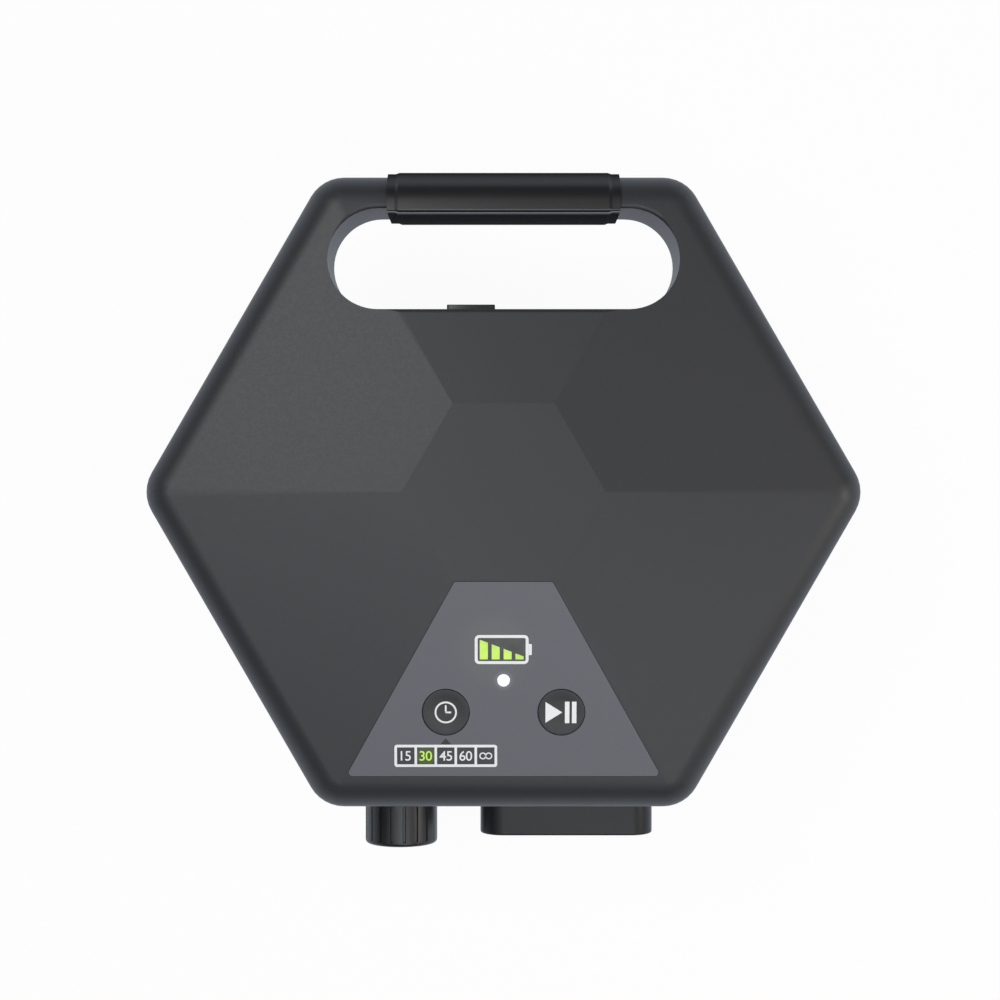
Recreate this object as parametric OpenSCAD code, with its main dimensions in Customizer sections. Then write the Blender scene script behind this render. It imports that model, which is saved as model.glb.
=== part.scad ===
// Air pump for compression boots: a hexagonal case with a carry handle, a control
// panel, a pressure knob, a hose port, and the pump, valves and battery inside.
// Millimetres. The case lies on its back on four feet. +Z leaves the control face,
// +Y points to the handle and +X to the right of the face. The origin is on the
// surface under the feet, at the middle of the outline.

/* [Case] */
// Distance between opposite sides of the hexagon
case_flats = 201.6; // [198:0.2:212]
// Height from the surface that the feet stand on to the crown
case_h = 90; // [88:0.5:98]
// Plan radius of the six corners
corner_r = 12.5; // [11.5:0.5:16]
// Radius of the rounded front edge
rim_r = 10.5; // [8:0.5:11]
// Slope of the six front facets, in degrees
facet_tilt = 8; // [6.5:0.5:9]
// Distance between opposite sides of the flat crown
crown_flats = 55; // [50:1:60]
// Thickness of the moulded walls
wall = 2.6; // [2.2:0.1:3]
// Height of the front shell, from its joint with the back to the crown
front_h = 33; // [30:0.5:34]
// How far each side leans in between the joint and the base
draft = 3.5; // [1.5:0.5:4.5]
// Radius round the base
base_r = 7; // [5:0.5:8.5]
// Width of the groove round the joint of the shells
seam_w = 0.6; // [0.3:0.1:1]
// Depth of the groove round the joint of the shells
seam_d = 0.7; // [0.4:0.1:0.9]
// Height of the lip that locates the shells on each other
lip_h = 2; // [1.5:0.1:2.6]

/* [Handle] */
// Length of the hand slot
slot_len = 111.2; // [100:0.2:114]
// Width of the hand slot
slot_w = 32.2; // [29:0.2:34]
// Width of the bar beyond the slot
bar_w = 11.2; // [11:0.2:13]
// Thickness of the wall round the slot
slot_wall = 2.4; // [2:0.1:2.8]
// Radius of the slot's edges
slot_edge = 1.6; // [1:0.1:1.8]
// Thickness of the plate that closes the handle from behind
handle_back = 2.8; // [2.4:0.1:3.2]
// Length of the grip sleeve
grip_len = 73.8; // [66:0.2:78]
// Thickness of the grip's end collars
grip_t = 1; // [0.8:0.1:1.4]
// How far the pad between the collars stands above them
grip_pad = 0.5; // [0.3:0.1:1]
// Width of each end collar
collar_w = 2.5; // [2:0.1:4]

/* [Control panel] */
// Distance down the facet from the crown's edge to the panel
panel_v0 = 0.5; // [0.5:0.1:2]
// Length of the panel down the facet
panel_len = 62.3; // [61.5:0.1:63.5]
// Width of the panel's upper edge
panel_top_w = 30.6; // [28:0.2:32]
// Width of the panel's lower edge
panel_base_w = 99.4; // [94:0.2:100]
// Thickness of the panel inlay
panel_t = 0.95; // [0.8:0.05:1.1]
// Depth of the recess that holds the inlay
panel_recess = 0.8; // [0.6:0.05:0.9]
// Radius of the two buttons
button_r = 7.4; // [6.8:0.1:7.8]
// Distance of each button from the middle line
button_x = 18.15; // [17.8:0.05:19]
// Distance of the buttons down the facet from the crown's edge
button_v = 42.1; // [41.5:0.1:43]
// Depth of the dish in each button
button_dish = 0.25; // [0.1:0.05:0.35]
// How far a button moves when it is pressed
button_travel = 0.8; // [0.5:0.1:0.9]
// Width of the battery display
gauge_w = 16.9; // [15.5:0.1:17.5]
// Height of the battery display
gauge_h = 9.3; // [9:0.1:10]
// Distance of the battery display down the facet
gauge_v = 22; // [21.5:0.1:22.5]
// Number of bars in the battery display
gauge_bars = 4; // [3:1:5]
// Radius of the status light
led_r = 1.9; // [1.5:0.1:2]
// Distance of the status light down the facet
led_v = 31.9; // [31.5:0.1:32.2]
// Width of the timer display
timer_w = 32.4; // [31:0.1:33]
// Height of the timer display
timer_h = 7.2; // [6.8:0.1:7.4]
// Distance of the timer display down the facet
timer_v = 56.2; // [56:0.1:56.8]
// Number of settings in the timer display
timer_cells_n = 5; // [4:1:5]

/* [Pressure knob] */
// Radius of the knob
knob_r = 12.1; // [11:0.1:12.6]
// Length of the knob
knob_len = 16.8; // [15:0.1:18]
// Distance of the knob to the left of the middle line
knob_x = 34.5; // [33.5:0.1:36]
// How far the knob's and the hose port's middle is behind the joint of the shells
port_drop = 21; // [20:0.5:23]
// Number of grip flutes round the knob
flutes = 18; // [14:1:22]
// Depth of each flute
flute_depth = 0.45; // [0.3:0.05:0.6]
// Radius of the control's shaft
shaft_r = 3; // [2.5:0.1:3.2]
// Radial clearance of each turning shaft
run_gap = 0.05; // [0.03:0.01:0.08]

/* [Hose port] */
// Width of the port's collar
port_w = 57.6; // [55:0.2:60]
// Height of the port's collar
port_h = 24; // [22:0.5:26]
// Radius of the collar's corners
port_r = 7.8; // [6.5:0.1:9]
// Distance of the collar to the right of the middle line
port_x = 21.1; // [20:0.1:22]
// How far the collar stands out of the case
port_out = 14.8; // [12:0.1:16]
// Thickness of the collar's wall
port_wall = 2.8; // [2.4:0.1:3.2]
// Depth of the socket
socket_depth = 14; // [12:0.5:15]
// Number of air nozzles
nozzles = 4; // [3:1:4]
// Distance between the nozzles
nozzle_pitch = 12; // [11:0.1:12.5]
// Radius of each nozzle
nozzle_r = 2.5; // [2.2:0.1:2.8]
// Radius of the air way in each nozzle
nozzle_bore_r = 1.5; // [1.2:0.1:1.7]

/* [Power] */
// Width of the switch's frame
switch_w = 15.2; // [14:0.1:16]
// Length of the switch's frame
switch_l = 21; // [20:0.1:21.6]
// How far the switch's frame stands out of the slot's floor
switch_out = 1.7; // [1.2:0.1:2]
// Distance of the switch to the left of the middle line
switch_x = 10.3; // [8:0.1:13]
// Angle that the rocker tips through
rocker_throw = 9; // [7:0.5:10]
// Distance of the charging socket to the right of the middle line
jack_x = 24; // [18:0.5:30]
// How far the charging socket's middle is behind the joint of the shells
jack_drop = 16; // [15:0.5:18]
// Radius of the charging socket's hole
jack_bore_r = 2.9; // [2.8:0.05:3.1]
// Radius of the charging socket's pin
jack_pin_r = 1; // [0.8:0.05:1.25]

/* [Feet and screws] */
// Radius of each foot
foot_r = 9; // [7:0.5:10]
// How far the feet stand below the base
foot_out = 3; // [2.5:0.1:4]
// Radius of the case screws' thread
screw_r = 1.5; // [1.4:0.05:1.7]
// Length of the case screws below the head
screw_len = 14; // [12:0.5:15]
// Radius of the case screws' head
head_r = 3; // [2.8:0.1:3.3]

/* [Inside] */
// Radius of each battery cell
cell_r = 9.2; // [9:0.05:9.3]
// Length of each battery cell
cell_len = 65; // [63:0.5:66]
// Number of battery cells
cells = 4; // [3:1:4]
// Radius of the pump's motor
motor_r = 17.5; // [15:0.5:18.5]
// Length of the pump's motor
motor_len = 50; // [44:1:52]
// Radius of the pump's crankshaft
crank_shaft_r = 2; // [1.6:0.1:2.4]
// Number of cooling fins on the pump's head
fins = 6; // [4:1:7]
// Thickness of the circuit boards
board_t = 1.6; // [1.2:0.1:2]
// Number of air slots in the base
vents = 7; // [5:1:8]

/* [Hidden] */

$fn = 60;
hull_fn = 36;      // sides of the round children of a hull, a multiple of six
arc_steps = 8;     // straight pieces of a rounded edge
over = 1;          // how far a cut runs past the surface that it opens
gap = 0.15;        // clearance between a fixed piece and its seat
seat_gap = 0.05;   // clearance between faces that slide or part

// heights and distances of the case
case_a = case_flats/2;
crown_a = crown_flats/2;
rim_z = case_h - (rim_r + sin(facet_tilt)*(case_a - rim_r - crown_a))/cos(facet_tilt);
split_z = case_h - front_h;
port_z = split_z - port_drop;
jack_z = split_z - jack_drop;
base_z = foot_out;
floor_z = base_z + wall;
slot_y0 = case_a - bar_w - slot_w;
slot_y = slot_y0 + slot_w/2;
handle_z = split_z - handle_back;
handle_edge = handle_back - 0.3;
function lean(z) = draft*(split_z - z)/(split_z - base_z);

// front and lower ends of the outline, and the middle between them
grip_top_y = case_a + grip_t + grip_pad;
wall_y = case_a - lean(port_z);
knob_gap = 2;
knob_y0 = wall_y + knob_gap;
knob_end_y = knob_y0 + knob_len;
mid_y = (grip_top_y - knob_end_y)/2;

// where two straight sides meet, each given by its normal's angle and distance
function meet(a1, d1, a2, d2) =
    [(d1*sin(a2) - d2*sin(a1))/sin(a2 - a1), (d2*cos(a1) - d1*cos(a2))/sin(a2 - a1)];
function arc(c, r, a0, a1, n = arc_steps) =
    [for (i = [0:n]) c + r*[cos(a0 + (a1 - a0)*i/n), sin(a0 + (a1 - a0)*i/n)]];

// the case's sides in plan, as angle and distance
hex_sides = [for (k = [0:5]) [30 + 60*k, case_a]];
tub_sides = [for (s = hex_sides) s[0] == 90 ? [90, slot_y0] : s];
function corner_of(sides, k, inset) =
    meet(sides[k][0], sides[k][1] - inset, sides[(k + 1)%6][0], sides[(k + 1)%6][1] - inset);
hex_corners = [for (k = [0:5]) corner_of(hex_sides, k, corner_r)];
tub_top_corners = [for (k = [0:5]) corner_of(tub_sides, k, corner_r)];
tub_base_corners = [for (k = [0:5]) corner_of(tub_sides, k, corner_r + draft)];

// screw towers: two in the lower corners, two at the sides, two under the handle,
// and two short ones in the handle's ends
tower_r = 5;
boss_r = 4.2;
head_gap = 0.5;
low_tower_in = 21;
top_tower_in = 14;
low_tower_gap = 1.4;
top_tower_gap = 2.4;
handle_tower_gap = 0.6;
low_tower = meet(270, case_a - low_tower_in, 330, case_a - draft - wall - tower_r - low_tower_gap);
side_tower = meet(330, low_tower[0]*cos(330) + low_tower[1]*sin(330), 30,
    low_tower[0]*cos(330) + low_tower[1]*sin(330));
top_tower = meet(30, case_a - draft - wall - tower_r - top_tower_gap, 90, slot_y0 - top_tower_in);
handle_tower = [slot_len/2 + slot_wall + boss_r + handle_tower_gap, slot_y];
tall_towers = [for (t = [low_tower, side_tower, top_tower], s = [-1, 1]) [s*t[0], t[1]]];
short_towers = [for (s = [-1, 1]) [s*handle_tower[0], handle_tower[1]]];
seat_drop = 4;
short_rise = 1.4;
tall_seat = split_z - seat_drop;
short_seat = split_z + short_rise;
seat_t = 3;
short_cut = 3;
pilot_r = screw_r - 0.15;
screw_hole_r = screw_r + 0.3;
head_h = 2.2;

// everything is drawn round the hexagon's centre, then moved to the origin
module in_frame() translate([0, -mid_y, 0]) children();
// a place on the lower facet: x to the right, y up the slope from the crown's edge
module on_facet(v = 0) translate([0, -crown_a, case_h]) rotate([facet_tilt, 0, 0])
    translate([0, -v, 0]) children();
// a place on the lower side: x to the right, y up, z out of the side
module on_side(x, y0) translate([x, -y0, port_z]) rotate([90, 0, 0]) children();

module at_corners(corners) for (c = corners) translate([c[0], c[1], 0]) children();
module mirrored_x() for (s = [0, 1]) mirror([s, 0, 0]) children();

// a revolved post with rounded ends; the upper round stops short by the facets' slope
module post(r, z0, z1, low = 0, high = 0, stop = 0)
    rotate_extrude($fn = hull_fn) polygon(concat(
        [[0, z0]],
        low > 0 ? arc([r - low, z0 + low], low, -90, 0) : [[r, z0]],
        high > 0 ? arc([r - high, z1 - high], high, 0, 90 - stop) : [[r, z1]],
        [[0, high > 0 ? z1 - high + high*cos(stop) : z1]]));

// the hexagon with its rounded front edge, facets and crown, shrunk by a wall
module front_form(inset, z0) hull() {
    at_corners(hex_corners)
        post(corner_r - inset, z0, rim_z + rim_r - inset, high = rim_r - inset, stop = facet_tilt);
    translate([0, 0, case_h - inset - 1])
        cylinder(r = (crown_a - inset*tan(facet_tilt/2))/cos(30), h = 1, $fn = 6);
}
module outline(inset, z0, z1) hull() at_corners(hex_corners)
    translate([0, 0, z0]) cylinder(r = corner_r - inset, h = z1 - z0, $fn = hull_fn);
module handle_plate() hull() at_corners(hex_corners)
    post(corner_r, handle_z, split_z, low = handle_edge);
// the deep back, which leans in towards its rounded base
module tub_form(inset, top_z) hull() {
    at_corners(tub_top_corners) translate([0, 0, split_z - 0.01])
        cylinder(r = corner_r - inset, h = top_z - split_z + 0.01, $fn = hull_fn);
    at_corners(tub_base_corners)
        post(corner_r - inset, base_z + inset, base_z + base_r + 1, low = base_r - inset);
}

// a stadium with straight ends up and down, and its rounded mouth
module stadium(len, w, z0, z1) {
    half = (len - w)/2;
    translate([-half, -w/2, z0]) cube([2*half, w, z1 - z0]);
    for (s = [-1, 1]) translate([s*half, 0, z0]) cylinder(r = w/2, h = z1 - z0);
}
module mouth_profile(r, e) difference() {
    translate([r - over, -e]) square([over + e, e + over]);
    translate([r + e, -e]) circle(r = e);
}
module stadium_mouth(len, w, e) {
    half = (len - w)/2;
    for (s = [0, 1]) mirror([s, 0, 0]) translate([half, 0, 0]) rotate([0, 0, -90])
        rotate_extrude(angle = 180) mouth_profile(w/2, e);
    for (s = [0, 1]) mirror([0, s, 0]) translate([-half, 0, 0]) rotate([90, 0, 90])
        linear_extrude(2*half) mouth_profile(w/2, e);
}
module slot_mouths() {
    translate([0, slot_y, case_h - (slot_y - crown_a)*tan(facet_tilt)]) rotate([-facet_tilt, 0, 0])
        stadium_mouth(slot_len, slot_w, slot_edge);
}

// a box with rounded vertical edges, centred in plan
module rounded_box(w, l, h, r) {
    translate([-w/2 + r, -l/2, 0]) cube([w - 2*r, l, h]);
    translate([-w/2, -l/2 + r, 0]) cube([w, l - 2*r, h]);
    for (x = [-1, 1], y = [-1, 1]) translate([x*(w/2 - r), y*(l/2 - r), 0]) cylinder(r = r, h = h);
}

/* the control panel, in the facet's own plane; z is 0 at the facet */
panel_v1 = panel_v0 + panel_len;
panel_corner_r = 1.2;
panel_slope = (panel_base_w - panel_top_w)/2/panel_len;
panel_bevel = sqrt(1 + panel_slope*panel_slope);
panel_top = panel_t - panel_recess;
button_gap = 0.15;
flange_extra = 1.4;
flange_t = 1;
button_top = panel_top + 0.25;
window_gap = 0.1;
window_flange = 0.8;
board_drop = 8.6;
switch_h = 3.4;
switch_side = 6.2;
stem_r = 1.6;
well_r = 2;
stem_in = 1;
well_gap = 0.6;
well_depth = stem_in + button_travel + well_gap;
guide_end = 7;
led_chip_h = 1.2;
gauge_x = -0.6;
gauge_r = 1.4;
gauge_nub = 1;
gauge_nub_h = 3.6;
gauge_line = 1.1;
gauge_bar_w = 2.5;
gauge_bar_h = 6.25;
gauge_bar_low = 0.9;
timer_x = -18.2;
timer_r = 0.8;
timer_line = 0.9;

module panel_form(grow, z0, z1) hull() mirrored_x() {
    r = panel_corner_r;
    translate([panel_top_w/2 + panel_slope*r - r*panel_bevel, -panel_v0 - r, z0])
        cylinder(r = r + grow, h = z1 - z0, $fn = hull_fn);
    translate([panel_base_w/2 - panel_slope*r - r*panel_bevel, -panel_v1 + r, z0])
        cylinder(r = r + grow, h = z1 - z0, $fn = hull_fn);
}
module gauge_form(grow, z0, z1) translate([gauge_x, 0, z0]) {
    rounded_box(gauge_w + 2*grow, gauge_h + 2*grow, z1 - z0, gauge_r);
    translate([0, -gauge_nub_h/2 - grow, 0])
        cube([gauge_w/2 + gauge_nub + grow, gauge_nub_h + 2*grow, z1 - z0]);
}
module timer_form(grow, z0, z1) translate([timer_x, 0, z0])
    rounded_box(timer_w + 2*grow, timer_h + 2*grow, z1 - z0, timer_r);
// the holes that the panel's pieces show through
module panel_holes(z0, z1) {
    for (x = [-1, 1]) on_facet(button_v) translate([x*button_x, 0, z0])
        cylinder(r = button_r + button_gap, h = z1 - z0);
    on_facet(led_v) translate([0, 0, z0]) cylinder(r = led_r + window_gap, h = z1 - z0);
    on_facet(gauge_v) gauge_form(window_gap, z0, z1);
    on_facet(timer_v) timer_form(window_gap, z0, z1);
}
keypad_pair = [[11, 11.5], [36, 46.5]];
keypad_spots = [for (s = [-1, 1], p = keypad_pair) [s*p[0], p[1]]];
keypad_head = [1.9, 1.2];
keypad_boss_r = 2.6;
keypad_screw_r = 1;
keypad_screw_len = 5;
keypad_pilot_r = keypad_screw_r - 0.1;

module panel_inlay() in_frame() color([0.4, 0.4, 0.43]) difference() {
    on_facet() panel_form(0, -panel_recess, panel_top);
    panel_holes(-panel_recess - over, panel_top + over);
}
module push_button(x) on_facet(button_v) translate([x, 0, 0]) {
    edge = 0.4;
    under = wall + seat_gap;
    stem_z = board_drop - switch_h + stem_in;
    rotate_extrude() polygon(concat(
        [[0, -stem_z], [stem_r, -stem_z], [stem_r, -under - flange_t],
         [button_r + flange_extra, -under - flange_t], [button_r + flange_extra, -under],
         [button_r, -under]],
        arc([button_r - edge, button_top - edge], edge, 0, 90, 4),
        [for (i = [1:4]) [button_r - edge - i, button_top - button_dish*(1 - cos(45*i))/2],
         [0, button_top - button_dish]]));
}
module time_button() in_frame() color([0.24, 0.24, 0.25]) push_button(-button_x);
module start_button() in_frame() color([0.24, 0.24, 0.25]) push_button(button_x);

// the bars' tops fall along one line from the first to the last
gauge_side = 0.5;
gauge_foot = 0.4;
gauge_bar_span = gauge_w - 2*gauge_line - 2*gauge_side;
gauge_bar_fall = (gauge_bar_h - gauge_bar_low)/gauge_bar_span;
function bar_top(x) = gauge_bar_h - gauge_bar_fall*(x + gauge_bar_span/2);
module gauge_bar_forms(grow, z0, z1) {
    pitch = (gauge_bar_span - gauge_bar_w)/(gauge_bars - 1);
    for (k = [0:gauge_bars - 1]) {
        x0 = -gauge_bar_span/2 + k*pitch;
        x1 = x0 + gauge_bar_w;
        translate([gauge_x, -gauge_h/2 + gauge_line + gauge_foot, z0]) linear_extrude(z1 - z0)
            polygon([[x0 - grow, -grow], [x1 + grow, -grow], [x1 + grow, bar_top(x1) + grow],
                [x0 - grow, bar_top(x0) + grow]]);
    }
}
module battery_window() in_frame() color([0.2, 0.2, 0.22]) on_facet(gauge_v) difference() {
    union() {
        gauge_form(0, -wall - seat_gap - flange_t, panel_top);
        gauge_form(window_flange, -wall - seat_gap - flange_t, -wall - seat_gap);
    }
    gauge_bar_forms(seat_gap, -guide_end, panel_top + over);
}
module battery_bars() in_frame() color([0.75, 0.95, 0.3]) on_facet(gauge_v)
    gauge_bar_forms(0, -guide_end, panel_top);

cell_pitch = (timer_w - timer_line)/timer_cells_n;
function cell_x(k) = timer_x + (k - (timer_cells_n - 1)/2)*cell_pitch;
module timer_cell_forms(grow, z0, z1)
    for (k = [0:timer_cells_n - 1]) translate([cell_x(k), 0, (z0 + z1)/2])
        cube([cell_pitch - timer_line + 2*grow, timer_h - 2*timer_line + 2*grow, z1 - z0],
            center = true);
module timer_frame() in_frame() color([0.9, 0.9, 0.9]) on_facet(timer_v) difference() {
    union() {
        timer_form(0, -wall - seat_gap - flange_t, panel_top);
        timer_form(window_flange, -wall - seat_gap - flange_t, -wall - seat_gap);
    }
    timer_cell_forms(seat_gap, -guide_end, panel_top + over);
}
module timer_cells() in_frame() color([0.2, 0.2, 0.22]) on_facet(timer_v)
    timer_cell_forms(0, -guide_end, panel_top);

led_rise = 0.4;
module status_light() in_frame() color([0.95, 0.95, 0.95]) on_facet(led_v)
    rotate_extrude() polygon(concat(
        [[0, -guide_end], [led_r + window_flange, -guide_end],
         [led_r + window_flange, -wall - seat_gap], [led_r, -wall - seat_gap]],
        arc([led_r - led_rise, panel_top], led_rise, 0, 90, 4), [[0, panel_top + led_rise]]));

keypad_w = 84;
keypad_top_w = 36;
keypad_v0 = 7;
keypad_v1 = 61.5;
module keypad_board() in_frame() color([0.12, 0.35, 0.2]) on_facet() difference() {
    translate([0, 0, -board_drop - board_t]) linear_extrude(board_t)
        polygon([[-keypad_top_w/2, -keypad_v0], [keypad_top_w/2, -keypad_v0],
            [keypad_w/2, -keypad_v1], [-keypad_w/2, -keypad_v1]]);
    for (p = keypad_spots) translate([p[0], -p[1], -board_drop - board_t - over])
        cylinder(r = keypad_screw_r + 0.2, h = board_t + 2*over);
}
module key_switches() in_frame() color([0.15, 0.15, 0.15])
    for (x = [-1, 1]) on_facet(button_v) translate([x*button_x, 0, -board_drop]) difference() {
        translate([-switch_side/2, -switch_side/2, 0]) cube([switch_side, switch_side, switch_h]);
        translate([0, 0, switch_h - well_depth]) cylinder(r = well_r, h = well_depth + over);
    }
led_chip = [2, 1.6];
module led_at(x) translate([x - led_chip[0]/2, -led_chip[1]/2, -board_drop])
    cube([led_chip[0], led_chip[1], led_chip_h]);
module panel_leds() in_frame() color([0.95, 0.9, 0.7]) {
    on_facet(led_v) led_at(0);
    bar_pitch = (gauge_bar_span - gauge_bar_w)/(gauge_bars - 1);
    for (k = [0:gauge_bars - 1])
        on_facet(gauge_v) led_at(gauge_x + (gauge_bar_w - gauge_bar_span)/2 + k*bar_pitch);
    for (k = [0:timer_cells_n - 1])
        on_facet(timer_v) led_at(cell_x(k));
}
module pan_screw(r, len, head, h) {
    cylinder(r = r, h = len);
    translate([0, 0, -h]) difference() {
        cylinder(r = head, h = h);
        for (turn = [0, 90]) rotate([0, 0, turn]) translate([-head*0.6, -head*0.1, -over])
            cube([head*1.2, head*0.2, h*0.5 + over]);
    }
}
module keypad_screws() in_frame() color([0.7, 0.7, 0.72])
    for (p = keypad_spots) on_facet(p[1]) translate([p[0], 0, -board_drop - board_t])
        pan_screw(keypad_screw_r, keypad_screw_len, keypad_head[0], keypad_head[1]);

/* the two shells */
switch_lip = 1.1;
switch_rise = 0.4;
switch_cut_w = switch_w - 2*switch_lip;
switch_cut_l = switch_l - 2*switch_lip;
switch_z = rim_z + switch_rise;
module switch_hole() translate([-switch_x, slot_y0, switch_z])
    cube([switch_cut_w + 2*gap, 3*(slot_wall + slot_edge), switch_cut_l + 2*gap], center = true);

rib_t = 1.6;
rib_drop = 4;
module front_shell() in_frame() color([0.27, 0.27, 0.29]) difference() {
    front_form(0, split_z);
    difference() {
        front_form(wall, split_z - over);
        // what stays of the inside: the slot's wall, the screw bosses and the ribs
        translate([0, slot_y, 0])
            stadium(slot_len + 2*slot_wall, slot_w + 2*slot_wall, split_z, case_h);
        for (t = tall_towers) translate([t[0], t[1], split_z])
            cylinder(r = boss_r, h = case_h - split_z);
        for (t = short_towers) translate([t[0], t[1], short_seat + seat_t])
            cylinder(r = boss_r, h = case_h - short_seat);
        for (p = keypad_spots) on_facet(p[1]) translate([p[0], 0, -board_drop])
            cylinder(r = keypad_boss_r, h = board_drop);
        for (k = [0:5]) rotate([0, 0, 60*k]) translate([crown_a, -rib_t/2, rim_z - rib_drop])
            cube([case_a - crown_a - 2*corner_r, rib_t, case_h - rim_z + rib_drop]);
    }
    // the lip's seat, the slot and its mouths
    difference() {
        outline(wall/2, split_z - over, split_z + lip_h + seat_gap);
        outline(wall, split_z - 2*over, split_z + lip_h + 2*over);
    }
    difference() {
        outline(-over, split_z - over, split_z + seam_w);
        outline(seam_d, split_z - 2*over, split_z + seam_w + over);
    }
    translate([0, slot_y, 0]) stadium(slot_len, slot_w, split_z - over, case_h + over);
    slot_mouths();
    switch_hole();
    // the panel's recess and the holes for what shows through it
    on_facet() panel_form(gap, -panel_recess, over);
    panel_holes(-wall - 2*over, over);
    // pilot holes for the screws
    for (t = concat(tall_towers, short_towers)) translate([t[0], t[1], split_z - over])
        cylinder(r = pilot_r, h = screw_len);
    for (p = keypad_spots) on_facet(p[1]) translate([p[0], 0, -board_drop - over])
        cylinder(r = keypad_pilot_r, h = keypad_screw_len);
}

// thick pads with an upright inner face, where the controls pass the leaning sides
pad_t = 6;
pad_y = case_a - pad_t;
knob_pad = [32, 32];
port_flange = 4;
port_pad = [port_w + 2*port_flange + 2, port_h + 2*port_flange];
jack_pad = [17, 17];
jack_pad_y = slot_y0 - pad_t;
jack_flange_r = 5.6;
jack_rim = 0.8;
jack_rise = 0.1;
jack_seat_y = slot_y0 - lean(jack_z + jack_flange_r + jack_rim) + jack_rise;
knob_boss_r = 10.5;
bushing_r = 4.5;
module pad(size) translate([-size[0]/2, -size[1]/2, 0]) cube([size[0], size[1], pad_t]);
module side_pads() {
    on_side(-knob_x, pad_y) pad(knob_pad);
    on_side(port_x, pad_y) pad(port_pad);
    translate([jack_x, jack_pad_y, jack_z]) rotate([-90, 0, 0]) pad(jack_pad);
}
foot_spots = [[56, 40], [44, -74]];
foot_sink = 1;
foot_pin_r = 2.5;
module at_feet() mirrored_x() for (p = foot_spots) translate([p[0], p[1], 0]) children();
vent_len = 34;
vent_w = 2.4;
vent_pitch = 5.2;
vent_spot = [-45, 8];
pump_x = -45;
mount_dx = 26;
mount_y = [-34, 26];
mount_post_r = 2.2;
mount_h = 6;
post_h = 3;
tray_y = 0;
tray_x = 44;
module at_mounts(z) for (s = [-1, 1], y = mount_y) translate([pump_x + s*mount_dx, y, z]) children();

module back_shell() in_frame() color([0.2, 0.2, 0.21]) difference() {
    union() {
        handle_plate();
        tub_form(0, split_z);
        difference() {
            outline(wall/2 + gap/2, split_z - over, split_z + lip_h);
            outline(wall, split_z - 2*over, split_z + lip_h + over);
        }
        for (t = short_towers) translate([t[0], t[1], handle_z])
            cylinder(r = boss_r, h = short_seat + seat_t - handle_z);
        // flat seats on the leaning sides for the control's nut and the charging socket
        on_side(-knob_x, pad_y) cylinder(r = knob_boss_r, h = pad_t);
        translate([jack_x, jack_pad_y, jack_z]) rotate([-90, 0, 0])
            cylinder(r = jack_flange_r + jack_rim, h = jack_seat_y - jack_pad_y);
    }
    difference() {
        tub_form(wall, split_z + lip_h + over);
        for (t = tall_towers) translate([t[0], t[1], base_z])
            cylinder(r = tower_r, h = split_z - base_z);
        side_pads();
        at_mounts(base_z) cylinder(r = mount_post_r, h = wall + post_h);
        for (p = tray_spots) translate([p[0], p[1], base_z])
            cylinder(r = tray_boss_r, h = wall + tray_boss_h);
    }
    translate([0, slot_y, 0]) stadium(slot_len, slot_w, base_z - over, split_z + over);
    translate([0, slot_y, handle_z]) rotate([180, 0, 0]) stadium_mouth(slot_len, slot_w, slot_edge);
    for (t = tall_towers) translate([t[0], t[1], 0]) {
        translate([0, 0, -over]) cylinder(r = head_r + head_gap, h = tall_seat + over);
        cylinder(r = screw_hole_r, h = split_z + over);
    }
    for (t = short_towers) translate([t[0], t[1], 0]) {
        translate([0, 0, handle_z - over])
            cylinder(r = head_r + head_gap, h = short_seat - handle_z + over);
        translate([0, 0, handle_z]) cylinder(r = screw_hole_r, h = short_seat + seat_t);
    }
    on_side(-knob_x, pad_y - over) cylinder(r = bushing_r + gap, h = pad_t + 2*over);
    on_side(port_x, pad_y - over)
        rounded_box(port_w + 2*gap, port_h + 2*gap, pad_t + 2*over, port_r);
    for (s = [-1, 1]) on_side(port_x + s*port_screw_x, pad_y - over)
        cylinder(r = port_pilot_r, h = port_screw_len - port_flange_t + over);
    translate([jack_x, jack_pad_y - over, jack_z]) rotate([-90, 0, 0])
        cylinder(r = jack_barrel_r + gap, h = pad_t + 2*over);
    at_feet() translate([0, 0, base_z - over]) {
        cylinder(r = foot_r + gap, h = foot_sink + over);
        cylinder(r = foot_pin_r + seat_gap, h = wall + 2*over);
    }
    for (k = [0:vents - 1])
        translate([vent_spot[0] + (k - (vents - 1)/2)*vent_pitch, vent_spot[1], 0])
            rotate([0, 0, 90]) stadium(vent_len, vent_w, base_z - over, floor_z + over);
    for (p = tray_spots) translate([p[0], p[1], floor_z])
        cylinder(r = board_pilot_r, h = tray_boss_h + over);
}

// the rubber sleeve round the handle's bar, drawn as the bar's section grown
module bar_section(grow) {
    y0 = case_a - bar_w - grow;
    y1 = case_a + grow;
    low = handle_edge + grow;
    round_r = rim_r + grow;
    crest_y = case_a - rim_r + round_r*sin(facet_tilt);
    crest_z = rim_z + round_r*cos(facet_tilt);
    polygon(concat(
        [[y0, handle_z - grow]],
        arc([y1 - low, handle_z - grow + low], low, -90, 0),
        arc([case_a - rim_r, rim_z], round_r, 0, 90 - facet_tilt),
        [[y0, crest_z + (crest_y - y0)*tan(facet_tilt)]]));
}
module handle_grip() in_frame() color([0.16, 0.16, 0.17]) {
    along = [90, 0, 90];
    difference() {
        union() {
            translate([-grip_len/2, 0, 0]) rotate(along) linear_extrude(grip_len) bar_section(grip_t);
            translate([-grip_len/2 + collar_w, 0, 0]) rotate(along)
                linear_extrude(grip_len - 2*collar_w) bar_section(grip_t + grip_pad);
        }
        translate([-grip_len/2 - over, 0, 0]) rotate(along)
            linear_extrude(grip_len + 2*over) bar_section(seat_gap);
    }
}

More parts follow.
